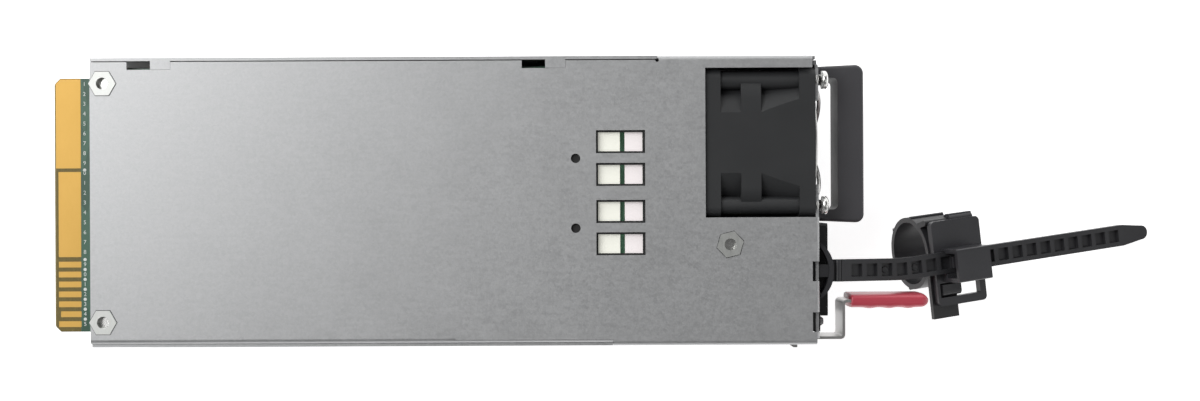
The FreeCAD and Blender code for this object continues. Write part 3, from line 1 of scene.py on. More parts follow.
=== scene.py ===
import bpy
import json
import math
import numpy as np
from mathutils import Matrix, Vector


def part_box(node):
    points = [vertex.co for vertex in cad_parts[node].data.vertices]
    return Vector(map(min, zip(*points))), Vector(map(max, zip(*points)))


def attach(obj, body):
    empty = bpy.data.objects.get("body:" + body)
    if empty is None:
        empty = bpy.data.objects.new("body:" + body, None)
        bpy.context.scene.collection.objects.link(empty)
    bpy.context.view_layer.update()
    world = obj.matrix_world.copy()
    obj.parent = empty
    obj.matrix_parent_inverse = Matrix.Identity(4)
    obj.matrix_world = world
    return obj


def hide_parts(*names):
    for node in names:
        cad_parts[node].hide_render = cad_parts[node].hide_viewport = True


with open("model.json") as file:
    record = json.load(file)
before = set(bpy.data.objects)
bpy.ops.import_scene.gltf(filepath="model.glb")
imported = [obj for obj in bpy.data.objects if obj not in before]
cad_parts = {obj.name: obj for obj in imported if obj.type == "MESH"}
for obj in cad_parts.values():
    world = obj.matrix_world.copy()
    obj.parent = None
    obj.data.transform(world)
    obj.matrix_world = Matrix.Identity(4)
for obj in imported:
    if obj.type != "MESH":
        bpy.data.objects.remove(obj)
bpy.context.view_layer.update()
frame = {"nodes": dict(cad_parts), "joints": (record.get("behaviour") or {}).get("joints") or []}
nodes = frame["nodes"]
mm = 0.001  # the scene is in metres
print("frame loaded:", len(nodes), "nodes")


class Wire:  # a node's output that arithmetic can be done on
    def __init__(self, finish, socket):
        self.finish = finish
        self.socket = socket

    def maths(self, operation, *others):
        values = dict(enumerate((self, *others)))
        return self.finish.add("ShaderNodeMath", {"operation": operation}, values)

    def __add__(self, other):
        return self.maths("ADD", other)

    def __radd__(self, other):
        return self.maths("ADD", other)

    def __sub__(self, other):
        return self.maths("SUBTRACT", other)

    def __rsub__(self, other):
        return self.finish.add("ShaderNodeMath", {"operation": "SUBTRACT"}, {0: other, 1: self})

    def __mul__(self, other):
        return self.maths("MULTIPLY", other)

    def __rmul__(self, other):
        return self.maths("MULTIPLY", other)

    def __gt__(self, other):
        return self.maths("GREATER_THAN", other)

    def __lt__(self, other):
        return self.maths("LESS_THAN", other)

    def __abs__(self):
        return self.maths("ABSOLUTE")

    def within(self, low, high):  # 1 between low and high, else 0
        return (self > low) * (self < high)


class Finish:  # a material and the nodes it is made of
    def __init__(self, name):
        self.material = bpy.data.materials.new(name)
        self.material.use_nodes = True
        self.tree = self.material.node_tree
        self.tree.nodes.clear()

    # any node: its settings are set first, then its sockets get values or links
    def add(self, kind, settings=None, values=None, output=0):
        node = self.tree.nodes.new(kind)
        for name, value in (settings or {}).items():
            setattr(node, name, value)
        for name, value in (values or {}).items():
            if isinstance(value, Wire):
                self.tree.links.new(value.socket, node.inputs[name])
            else:
                node.inputs[name].default_value = value
        return None if output is None else Wire(self, node.outputs[output])

    def place(self):  # object coordinates, in metres
        return self.add("ShaderNodeTexCoord", output="Object")

    def axes(self):
        parts = self.add("ShaderNodeSeparateXYZ", values={"Vector": self.place()}).socket.node
        return [Wire(self, parts.outputs[n]) for n in range(3)]

    def stretched(self, scale):  # object coordinates times three numbers
        settings = {"operation": "MULTIPLY"}
        return self.add("ShaderNodeVectorMath", settings, {0: self.place(), 1: scale})

    def noise(self, scale, detail, stretch=(1, 1, 1)):
        values = {"Vector": self.stretched(stretch), "Scale": scale, "Detail": detail}
        return self.add("ShaderNodeTexNoise", values=values)

    def cells(self, scale, stretch=(1, 1, 1)):  # one random grey per cell
        values = {"Vector": self.stretched(stretch), "Scale": scale}
        colour = self.add("ShaderNodeTexVoronoi", values=values, output="Color")
        return self.add("ShaderNodeSeparateColor", values={"Color": colour})

    def mix(self, factor, first, second):
        values = {"Factor": factor, 6: self.colour(first), 7: self.colour(second)}
        return self.add("ShaderNodeMix", {"data_type": "RGBA"}, values, output=2)

    def colour(self, value):
        return value if isinstance(value, Wire) else (*value, 1)

    def bump(self, height, distance, strength):
        values = {"Height": height, "Distance": distance, "Strength": strength}
        return self.add("ShaderNodeBump", values=values)

    def shade(self, values):
        shader = self.add("ShaderNodeBsdfPrincipled", values=values)
        self.add("ShaderNodeOutputMaterial", values={"Surface": shader}, output=None)
        return self.material


def solidCentres(node, splits):
    # middles of a node's separate solids, told apart by where they lie from the given split lines
    points = np.empty(len(nodes[node].data.vertices) * 3)
    nodes[node].data.vertices.foreach_get("co", points)
    points = points.reshape(-1, 3)
    keys = sum((points[:, axis] > value) * 2 ** n for n, (axis, value) in enumerate(splits))
    groups = [points[keys == key] for key in np.unique(keys)]
    return [(g.min(axis=0) + g.max(axis=0)) / 2 for g in groups]


def hexagonReach(it, centre, turn):
    # distance from a hexagon's middle to the flat that a point faces: the largest of three
    # dot products with the directions across the flats
    x, y, z = it.axes()
    reaches = []
    for number in range(3):
        angle = math.radians(turn + 30 + 60 * number)
        across = (x - centre[0]) * math.cos(angle) + (y - centre[1]) * math.sin(angle)
        reaches.append(abs(across))
    return reaches[0].maths("MAXIMUM", reaches[1]).maths("MAXIMUM", reaches[2])


def standoffGroovesAndShade(it):
    # 1 in the thin groove that each pressed-in hexagon leaves in the plate, else 0: the band that
    # is dented in the bump and painted dark as shade
    grooveAndShade = {"flat": 3.0 * mm, "wide": 0.16 * mm, "turns": (0, 0, 15)}
    centres = solidCentres("board_standoffs", [(0, 0.0), (1, 0.0)])
    rear = [c for c in centres if c[0] < 0]
    front = [c for c in centres if c[0] > 0]
    total = 0.0
    for centre, turn in zip(rear + front, grooveAndShade["turns"]):
        reach = hexagonReach(it, centre, turn)
        total = reach.within(grooveAndShade["flat"], grooveAndShade["flat"] + grooveAndShade["wide"]) + total
    return total


def zincSheet():
    # rolled, zinc-coated steel: fine spangle, cloudy patches and a slight grain along the case,
    # with painted shade, almost black, in the thin groove round each pressed-in hexagon
    sheet = {"dark": (0.39, 0.395, 0.40), "light": (0.56, 0.565, 0.57),
             "grooveAndShade": (0.09, 0.09, 0.09), "spangles": (1500, 3200), "clouds": 55, "grain": 900,
             "relief": 0.02 * mm}
    it = Finish("zincSheet")
    coarse, fine = sheet["spangles"]
    spangle = it.cells(coarse) * 0.5 + it.cells(fine) * 0.5
    cloud = it.noise(sheet["clouds"], 3)
    grain = it.noise(sheet["grain"], 2, stretch=(0.25, 1, 1))
    tone = spangle * 0.40 + grain * 0.35 + cloud * 0.25
    # painted shade: the groove band round each hexagon is dented in the bump and darkened almost
    # to black in the colour
    grooveAndShade = standoffGroovesAndShade(it)
    bare = it.mix(tone, sheet["dark"], sheet["light"])
    height = spangle * 0.5 + grain * 0.5 - grooveAndShade * 2.0
    return it.shade({"Base Color": it.mix(grooveAndShade, bare, sheet["grooveAndShade"]), "Metallic": 0.82,
                     "Roughness": tone * 0.22 + 0.36,
                     "Normal": it.bump(height, sheet["relief"], 0.35)})


def brightMetal(name, colour, roughness, mottling=0.08):
    # plated or turned metal with faint wiping marks
    it = Finish(name)
    marks = it.noise(1400, 3, stretch=(1, 0.3, 1))
    dull = tuple(c * (1 - mottling) for c in colour)
    return it.shade({"Base Color": it.mix(marks, dull, colour), "Metallic": 1.0,
                     "Roughness": marks * 0.12 + roughness,
                     "Normal": it.bump(marks, 0.01 * mm, 0.3)})


def moulding(name, dark, light, roughness, grainSize=0.25, depth=0.03, coat=0.0):
    # moulded plastic: fine spark-eroded grain, sizes in mm, and a slow cloudy change of tone
    it = Finish(name)
    grain = it.noise(1000 / grainSize, 2)
    cloud = it.noise(70, 3)
    tone = cloud * 0.7 + grain * 0.3
    values = {"Base Color": it.mix(tone, dark, light),
              "Roughness": cloud * 0.14 + grain * 0.08 + (roughness - 0.11),
              "Normal": it.bump(grain, depth * mm, 0.4)}
    if coat:
        values["Coat Weight"] = coat
        values["Coat Roughness"] = 0.2
    return it.shade(values)


def boardFinish():
    # green mask on both faces, bare laminate at the card edge and on the cut edges
    card = {"bare": 6.7 * mm, "edge": 0.12 * mm, "traces": 0.62, "relief": 0.03 * mm,
            "green": ((0.030, 0.090, 0.055), (0.050, 0.135, 0.085)),
            "laminate": ((0.10, 0.075, 0.012), (0.21, 0.155, 0.03))}
    it = Finish("boardFinish")
    x, y, z = it.axes()
    low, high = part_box("main_board")
    edge = (z < high.z - card["edge"]) * (z > low.z + card["edge"])
    bare = (x < low.x + card["bare"]).maths("MAXIMUM", edge)
    weave = it.noise(2600, 2, stretch=(1, 0.35, 1))
    laminate = it.mix(weave, *card["laminate"])
    traces = it.cells(420, stretch=(1, 0.2, 1)) > card["traces"]
    mask = it.mix(traces * 0.8, *card["green"])
    return it.shade({"Base Color": it.mix(bare, mask, laminate),
                     "Roughness": bare * 0.2 + 0.32,
                     "Normal": it.bump(traces * 0.5 + weave * bare, card["relief"], 0.5)})


def goldPlate():
    # satin gold over copper, slightly cloudy
    it = Finish("goldPlate")
    satin = it.noise(1800, 3, stretch=(1, 0.4, 1))
    cloud = it.noise(120, 2)
    tone = satin * 0.5 + cloud * 0.5
    return it.shade({"Base Color": it.mix(tone, (0.60, 0.36, 0.085), (0.70, 0.44, 0.125)),
                     "Metallic": 0.75, "Roughness": satin * 0.12 + 0.46,
                     "Normal": it.bump(satin, 0.01 * mm, 0.3)})


def softPad(name, colour):
    # filled silicone, matt and speckled; its faint glow is painted light that makes the pads
    # brighter than the lamps light them
    it = Finish(name)
    speck = it.noise(2200, 2)
    darker = tuple(c * 0.93 for c in colour)
    shown = it.mix(speck, darker, colour)
    return it.shade({"Base Color": shown, "Roughness": 0.75,
                     # painted light: the pad glows in its own colour
                     "Emission Color": shown, "Emission Strength": 0.30,
                     "Normal": it.bump(speck, 0.04 * mm, 0.5)})


def smokedDome():
    # polished smoked plastic
    it = Finish("smokedDome")
    haze = it.noise(500, 2)
    return it.shade({"Base Color": it.mix(haze, (0.012, 0.012, 0.014), (0.03, 0.03, 0.034)),
                     "Roughness": haze * 0.06 + 0.12, "Coat Weight": 0.5})


def woundWire():
    # enamelled turns lying side by side: a sine along the height bumps each turn and paints shade
    # between the turns and a highlight on their crowns
    wire = {"pitch": 0.9 * mm, "dark": (0.16, 0.045, 0.016), "light": (0.55, 0.21, 0.085)}
    it = Finish("enamelWire")
    x, y, z = it.axes()
    turns = (z * (2 * math.pi / wire["pitch"])).maths("SINE") * 0.5 + 0.5
    wear = it.noise(300, 2)
    # painted shade and highlight: dark between the turns, light on their crowns
    return it.shade({"Base Color": it.mix(turns * 0.7 + wear * 0.3, wire["dark"], wire["light"]),
                     "Metallic": 0.75, "Roughness": wear * 0.15 + 0.28,
                     "Normal": it.bump(turns, 0.1 * mm, 0.8)})


def sleeveFinish():
    # coloured sleeve shrunk round a drawn can
    it = Finish("sleeveFinish")
    scuff = it.noise(240, 3)
    return it.shade({"Base Color": it.mix(scuff, (0.010, 0.011, 0.03), (0.022, 0.024, 0.055)),
                     "Roughness": scuff * 0.15 + 0.22, "Coat Weight": 0.3})


# plastics: dark tone, light tone, roughness, then grain size and depth in mm and the coat's weight
mouldings = {
    "fanMoulding": ((0.017, 0.018, 0.019), (0.030, 0.031, 0.033), 0.50),
    "rotorMoulding": ((0.015, 0.015, 0.017), (0.028, 0.028, 0.031), 0.42),
    "handleMoulding": ((0.050, 0.049, 0.054), (0.076, 0.074, 0.081), 0.50, 0.4, 0.05),
    "inletMoulding": ((0.010, 0.010, 0.011), (0.020, 0.020, 0.021), 0.42),
    "strapNylon": ((0.020, 0.020, 0.022), (0.040, 0.040, 0.044), 0.36, 0.6, 0.02),
    "clipNylon": ((0.026, 0.026, 0.029), (0.050, 0.050, 0.055), 0.32, 0.6, 0.02),
    # the jaw is the clip's own nylon made darker: painted shade inside the loop
    "shadedLoopNylon": ((0.017, 0.017, 0.019), (0.034, 0.034, 0.037), 0.34, 0.6, 0.02),
    "filmFinish": ((0.008, 0.008, 0.008), (0.014, 0.014, 0.014), 0.55, 0.5),
    "firedFerrite": ((0.020, 0.020, 0.022), (0.050, 0.050, 0.054), 0.55, 0.5, 0.06),
    "yellowTape": ((0.55, 0.36, 0.03), (0.70, 0.48, 0.06), 0.36, 0.6, 0.02),
    "ivoryPart": ((0.62, 0.60, 0.50), (0.74, 0.72, 0.62), 0.45),
    "whitePart": ((0.72, 0.72, 0.70), (0.82, 0.82, 0.80), 0.40),
    "relayCase": ((0.60, 0.62, 0.62), (0.72, 0.74, 0.74), 0.35),
    "blackEpoxy": ((0.012, 0.012, 0.013), (0.024, 0.024, 0.026), 0.50),
    "redVinyl": ((0.47, 0.050, 0.076), (0.58, 0.072, 0.104), 0.36, 0.8, 0.03, 0.25),
    "smallBoard": ((0.030, 0.090, 0.055), (0.045, 0.125, 0.080), 0.35),
}

# metals: colour, roughness and how far the colour is mottled
metals = {
    "platedScrew": ((0.80, 0.80, 0.78), 0.20),
    "springNickel": ((0.70, 0.695, 0.68), 0.26, 0.12),
    "standoffPlate": ((0.62, 0.63, 0.61), 0.40, 0.15),
    "tinnedBlade": ((0.74, 0.72, 0.66), 0.24),
    "groundSteel": ((0.62, 0.62, 0.63), 0.18),
    "millAluminium": ((0.78, 0.79, 0.80), 0.36, 0.2),
    "tinnedCopper": ((0.72, 0.45, 0.30), 0.28, 0.2),
}

softPads = {"creamPad": (0.93, 0.93, 0.84), "pinkPad": (0.93, 0.87, 0.87)}

# the nodes that wear each finish
wearers = {
    "zincSheet": ["base_pan", "cover", "rear_panel"],
    "boardFinish": ["main_board"],
    "goldPlate": ["power_contacts", "signal_contacts"],
    "smokedDome": ["led_lens"],
    "enamelWire": ["choke_winding", "filter_choke"],
    "sleeveFinish": ["bulk_capacitors", "output_capacitors"],
    "creamPad": ["wide_pad"],
    "pinkPad": ["narrow_pad"],
    "fanMoulding": ["fan_housing"],
    "rotorMoulding": ["fan_rotor"],
    "handleMoulding": ["handle"],
    "inletMoulding": ["inlet_housing", "led_holder"],
    "strapNylon": ["strap", "strap_anchor"],
    "clipNylon": ["cord_clip"],
    # painted shade: the jaw wears a darker copy of the clip's nylon
    "shadedLoopNylon": ["clip_jaw"],
    "filmFinish": ["insulation_film"],
    "firedFerrite": ["fan_stator", "choke_core", "transformer_core", "resonant_inductor"],
    "yellowTape": ["transformer_windings", "standby_transformer"],
    "ivoryPart": ["film_capacitors", "input_fuse"],
    "whitePart": ["led_chip", "fan_header"],
    "relayCase": ["inrush_relay"],
    "blackEpoxy": ["primary_transistors", "secondary_transistors"],
    "redVinyl": ["latch_grip"],
    "smallBoard": ["fan_board", "control_board"],
    "platedScrew": ["fan_screws", "cover_screws", "board_screws"],
    "springNickel": ["fan_guard", "latch_spring", "latch_rivet"],
    "standoffPlate": ["board_standoffs"],
    "tinnedBlade": ["line_blade", "neutral_blade", "earth_blade"],
    "groundSteel": ["fan_shaft", "fan_bearings"],
    "millAluminium": ["primary_heatsink", "secondary_heatsink"],
    "tinnedCopper": ["output_busbars"],
}

made = [zincSheet(), boardFinish(), goldPlate(), smokedDome(), woundWire(), sleeveFinish()]
made += [moulding(name, *look) for name, look in mouldings.items()]
made += [brightMetal(name, *look) for name, look in metals.items()]
made += [softPad(name, colour) for name, colour in softPads.items()]
materials = {material.name: material for material in made}
finishes = {node: materials[name] for name, wearing in wearers.items() for node in wearing}
for name, node in nodes.items():
    node.data.materials.clear()
    node.data.materials.append(finishes[name])
print("finishes on", len(finishes), "nodes")


def makePiece(name, shape, material, body, smooth=False):
    points, faces = shape
    mesh = bpy.data.meshes.new(name)
    mesh.from_pydata(points.reshape(-1, 3).tolist(), [], faces)
    mesh.materials.append(material)
    mesh.polygons.foreach_set("use_smooth", [smooth] * len(faces))
    mesh.update()
    piece = bpy.data.objects.new(name, mesh)
    bpy.context.scene.collection.objects.link(piece)
    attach(piece, body)
    return piece


def turnSteps(count):  # angles once round, without the last one again
    return np.linspace(0, 2 * np.pi, count, endpoint=False)


def gridFaces(rows, columns, closedRows=False):
    # quads between neighbouring rows of points, each row closed on itself
    down = rows if closedRows else rows - 1
    r, c = np.meshgrid(np.arange(down), np.arange(columns), indexing="ij")
    here, there = r * columns, (r + 1) % rows * columns
    side = (c + 1) % columns
    quads = np.stack([here + c, here + side, there + side, there + c], axis=-1)
    return quads.reshape(-1, 4).tolist()


def cappedFaces(rows, columns):
    # the same quads with a flat face over the first row and one over the last
    last = columns * (rows - 1)
    caps = [list(range(columns))[::-1], list(range(last, last + columns))]
    return gridFaces(rows, columns) + caps


def joinShapes(shapes):
    # one list of points and faces from many, each one's faces counted on from the last
    points, faces, count = [], [], 0
    for shapePoints, shapeFaces in shapes:
        points.append(shapePoints.reshape(-1, 3))
        faces += [(np.array(face) + count).tolist() for face in shapeFaces]
        count += len(points[-1])
    return np.concatenate(points), faces


def roundedOutline(x0, x1, y0, y1, radius, cut=0.0):
    # four quarter circles: each corner's centre plus radius times (cos, sin), anticlockwise;
    # a cut corner is a straight line instead, from the long side to the short one
    steps = 4
    angles = np.linspace(0, np.pi / 2, steps)[None, :] + np.arange(4)[:, None] * np.pi / 2
    corners = np.array([(x1, y1), (x0, y1), (x0, y0), (x1, y0)])
    inward = np.array([(-1, -1), (1, -1), (1, 1), (-1, 1)]) * radius
    arcs = np.stack([np.cos(angles), np.sin(angles)], axis=-1) * radius
    outline = corners[:, None, :] + inward[:, None, :] + arcs
    if cut:
        share = np.linspace(0, cut, steps)
        outline[1] = np.stack([x0 + cut - share, y1 - share], axis=-1)
    return outline.reshape(-1, 2)


def slab(outline, levels):
    # the outline stacked at each height, moved in along its own normals, with a cap on both ends
    along = np.roll(outline, -1, axis=0) - np.roll(outline, 1, axis=0)
    normals = np.stack([along[:, 1], -along[:, 0]], axis=-1)
    normals /= np.linalg.norm(normals, axis=1, keepdims=True)
    rings = [np.column_stack([outline - normals * inset, np.full(len(outline), height)])
             for height, inset in levels]
    return np.array(rings), cappedFaces(len(levels), len(outline))


def ringTube(centre, radius, wire, around, sides):
    # torus round the X axis: radius plus wire times cos, turned about the centre
    t = turnSteps(around)[:, None]
    s = turnSteps(sides)[None, :]
    reach = radius + wire * np.cos(s)
    x = centre[0] - wire * np.sin(s) + 0 * t
    points = np.stack([x, centre[1] + reach * np.cos(t), centre[2] + reach * np.sin(t)], axis=-1)
    return points, gridFaces(around, sides, closedRows=True)


def wireAlong(path, wire, sides):
    # a circle carried along the path, square to it, with a flat cap at both ends
    along = np.gradient(path, axis=0)
    along /= np.linalg.norm(along, axis=1, keepdims=True)
    first = np.cross(along, (1.0, 0.0, 0.0))
    first /= np.linalg.norm(first, axis=1, keepdims=True)
    second = np.cross(along, first)
    s = turnSteps(sides)[None, :, None]
    circle = np.cos(s) * first[:, None, :] + np.sin(s) * second[:, None, :]
    return path[:, None, :] + wire * circle, cappedFaces(len(path), sides)


def makeGuard():
    # finger guard: three rings on four bowed arms, each arm ending at an eye round a fan screw
    guard = {"wire": 0.5 * mm, "rings": (15.7 * mm, 10.9 * mm, 6.1 * mm), "back": 1.5 * mm,
             "armFront": 0.85 * mm, "bow": 0.7 * mm, "dip": 6, "eye": 2.0 * mm,
             "sides": 12, "ringSteps": 72, "eyeSteps": 36, "armSteps": 24}
    low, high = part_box("fan_guard")
    middle = (low + high) / 2
    wire, sides, inner = guard["wire"], guard["sides"], guard["rings"][-1]
    hub = np.array([high.x - guard["back"], middle.y, middle.z])
    shapes = [ringTube(hub, ring, wire, guard["ringSteps"], sides) for ring in guard["rings"]]
    share = np.linspace(0, 1, guard["armSteps"])[:, None]
    # how far in front of the rings an arm runs: bowed by a sine, down to them at its outer end
    front = guard["armFront"] * (1 - share ** guard["dip"])
    front = front + guard["bow"] * np.sin(share * np.pi)
    for seat in solidCentres("fan_screws", [(1, middle.y), (2, middle.z)]):
        outward = np.array([0, seat[1] - middle.y, seat[2] - middle.z])
        reach = np.linalg.norm(outward)
        out = inner - wire + share * (reach - guard["eye"] - inner)
        path = hub + out * outward / reach + front * np.array([1.0, 0, 0])
        shapes.append(wireAlong(path, wire, sides))
        eye = (hub[0], seat[1], seat[2])
        shapes.append(ringTube(eye, guard["eye"], wire, guard["eyeSteps"], sides))
    piece = makePiece("fingerGuard", joinShapes(shapes), finishes["fan_guard"], "root",
                      smooth=True)
    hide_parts("fan_guard")


def screwSolid(centre, axis, rows):
    # a turned screw: rows of radius and height along the axis, in mm, where a lobed row's radius
    # swells and sinks six times round, as 1 plus a share of the cosine of six times the angle
    axis = np.array(axis, float)
    first = np.cross(axis, (0.0, 0.0, 1.0))
    second = np.cross(axis, first)
    t = turnSteps(48)[None, :]  # eight steps to each lobe
    radius, height, lobes = (np.array(column)[:, None] for column in zip(*rows))
    reach = (radius * mm * (1 + lobes * np.cos(6 * t)))[:, :, None]
    points = np.array(centre) + axis * (height * mm)[:, :, None] + reach * (
        np.cos(t)[:, :, None] * first + np.sin(t)[:, :, None] * second)
    return points, cappedFaces(len(rows), t.size)


def driveRows(screw, face):
    # six-lobed drive sunk into the head's face: a flared mouth, a tapered wall and a pointed floor
    return [(screw["drive"] * screw["flare"], face, screw["mouthLobes"]),
            (screw["drive"], face - screw["mouth"], screw["lobes"]),
            (screw["drive"] * screw["taper"], face - screw["sunk"], screw["lobes"]),
            (screw["tip"], face - screw["point"], 0)]


def makeCoverScrews():
    # flat heads in the case's side, sizes in mm, heights measured out from the case
    screw = {"shank": 1.25, "length": 2.2, "headDeep": 1.0, "gap": 0.02, "round": 0.10,
             "drive": 0.85, "flare": 1.12, "taper": 0.92, "mouth": 0.10, "sunk": 0.68,
             "point": 0.785, "tip": 0.05, "lobes": 0.20, "mouthLobes": 0.16}
    low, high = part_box("cover_screws")
    rim = (high.z - low.z) / 2 / mm - screw["gap"]
    rows = [(screw["shank"], -screw["length"], 0), (screw["shank"], -screw["headDeep"], 0),
            (rim, -screw["gap"] - screw["round"], 0), (rim - screw["round"], -screw["gap"], 0)]
    rows += driveRows(screw, -screw["gap"])
    centres = solidCentres("cover_screws", [(0, (low.x + high.x) / 2)])
    shapes = [screwSolid((c[0], low.y, c[2]), (0, -1, 0), rows) for c in centres]
    piece = makePiece("coverScrews", joinShapes(shapes), finishes["cover_screws"], "root")
    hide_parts("cover_screws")


def makeFanScrews():
    # domed heads on the fan's corners, sizes in mm: the crown is part of an ellipse, its height
    # falling as 1 less the root of 1 less the square of the way out
    screw = {"shank": 1.4, "head": 2.3, "high": 1.9, "crown": 0.62, "bulge": 0.95, "flat": 0.52,
             "crownRows": 7, "drive": 1.05, "flare": 1.06, "taper": 0.94, "mouth": 0.10,
             "sunk": 0.90, "point": 0.99, "tip": 0.05, "lobes": 0.18, "mouthLobes": 0.12}
    low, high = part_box("fan_screws")
    middle = (low + high) / 2
    top = (high.x - low.x) / mm
    under = top - screw["high"]
    out = np.linspace(1.0, screw["flat"], screw["crownRows"])
    fall = screw["high"] * screw["crown"] * (1 - np.sqrt(1 - (out * screw["bulge"]) ** 2))
    rows = [(screw["shank"], 0, 0), (screw["shank"], under, 0), (screw["head"], under, 0)]
    rows += [(screw["head"] * share, top - drop, 0) for share, drop in zip(out, fall)]
    rows += driveRows(screw, top - fall[-1])
    centres = solidCentres("fan_screws", [(1, middle.y), (2, middle.z)])
    shapes = [screwSolid((low.x, c[1], c[2]), (1, 0, 0), rows) for c in centres]
    piece = makePiece("fanScrews", joinShapes(shapes), finishes["fan_screws"], "root",
                      smooth=True)
    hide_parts("fan_screws")


# plated pads on both faces of the card edge: two wide ones for power, then the signal pads
contact = {"length": 5.75 * mm, "late": 0.6 * mm, "latest": 0.5 * mm, "round": 0.12 * mm,
           "signalWide": 1.5 * mm, "signals": 7, "shortOne": 5, "powerWide": 22.8 * mm,
           "gap": 0.9 * mm, "corner": 1.2 * mm}


def signalTops():
    # upper edges of the signal pads, evenly spaced over the length that they fill
    low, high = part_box("signal_contacts")
    return np.linspace(high.y, low.y + contact["signalWide"], contact["signals"])


def makeContacts():
    # each pad is a rounded outline whose rim leans in over the upper half of its thickness
    powerLow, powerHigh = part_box("power_contacts")
    boardLow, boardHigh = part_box("main_board")
    tip = powerLow.x
    start = tip + contact["late"]
    root = start + contact["length"]
    inner = powerHigh.y - contact["powerWide"]
    power = [roundedOutline(tip, root, inner, powerHigh.y, contact["round"], contact["corner"]),
             roundedOutline(start, root, powerLow.y, inner - contact["gap"], contact["round"])]
    signals = []
    for number, top in enumerate(signalTops()):
        late = contact["latest"] if number == contact["shortOne"] else 0
        signals.append(roundedOutline(start + late, root, top - contact["signalWide"], top,
                                      contact["round"]))
    for name, outlines, node in (("powerPads", power, "power_contacts"),
                                 ("signalPads", signals, "signal_contacts")):
        solids = []
        for outline in outlines:
            for z0, z1 in ((boardHigh.z, powerHigh.z), (powerLow.z, boardLow.z)):
                rim = (z1 - z0) * 0.5
                solids.append(slab(outline, [(z0, 0), (z0 + rim, 0), (z1, rim)]))
        piece = makePiece(name, joinShapes(solids), finishes[node], "root")
        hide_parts(node)


def numeralMesh(text, size, thick):
    # the numeral's outline with a flat front and back, half the thickness to each side
    curve = bpy.data.curves.new("numeral", "FONT")
    curve.body = text
    curve.size = size
    curve.align_x = "CENTER"
    curve.align_y = "CENTER"
    curve.extrude = thick / 2
    curve.resolution_u = 3
    shown = bpy.data.objects.new("numeral", curve)
    bpy.context.scene.collection.objects.link(shown)
    mesh = bpy.data.meshes.new_from_object(shown)
    points = np.empty(len(mesh.vertices) * 3)
    mesh.vertices.foreach_get("co", points)
    faces = [list(face.vertices) for face in mesh.polygons]
    bpy.data.objects.remove(shown)
    bpy.data.curves.remove(curve)
    bpy.data.meshes.remove(mesh)
    return points.reshape(-1, 3), faces


def makeNumerals():
    # pin numbers on the green strip beside the contacts, and a white dot at each gap
    marking = {"size": 1.45 * mm, "fromTip": 7.75 * mm, "dot": 0.42 * mm, "lift": 0.012 * mm,
               "thick": 0.02 * mm, "pitch": 2.54 * mm, "powerPins": 18,
               "worn": (0.55, 0.60, 0.55), "ink": (0.90, 0.92, 0.90)}
    boardLow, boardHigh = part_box("main_board")
    powerLow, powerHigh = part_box("power_contacts")
    x = boardLow.x + marking["fromTip"]
    z = boardHigh.z + marking["lift"]
    half, rim = marking["thick"] / 2, marking["pitch"] / 2
    signals = signalTops() - contact["signalWide"] / 2
    powers = np.linspace(powerHigh.y - rim, powerLow.y + rim, marking["powerPins"])
    shapes = []
    for number, y in enumerate(np.concatenate([powers, signals]), start=1):
        points, faces = numeralMesh(str(number % 10), marking["size"], marking["thick"])
        shapes.append((points + np.array([x, y, z]), faces))
    gaps = signals + (signals[0] - signals[1]) / 2
    gaps = np.append(gaps, powerHigh.y - contact["powerWide"] - contact["gap"] / 2)
    around = turnSteps(20)
    circle = np.stack([np.cos(around), np.sin(around)], axis=-1) * marking["dot"]
    for y in gaps:
        levels = [(z - half, 0), (z, 0), (z + half, marking["thick"])]
        shapes.append(slab(circle + np.array([x, y]), levels))
    it = Finish("whitePrint")
    ink = it.shade({"Base Color": it.mix(it.noise(3000, 2), marking["worn"], marking["ink"]),
                    "Roughness": 0.6})
    makePiece("pinNumerals", joinShapes(shapes), ink, "root")


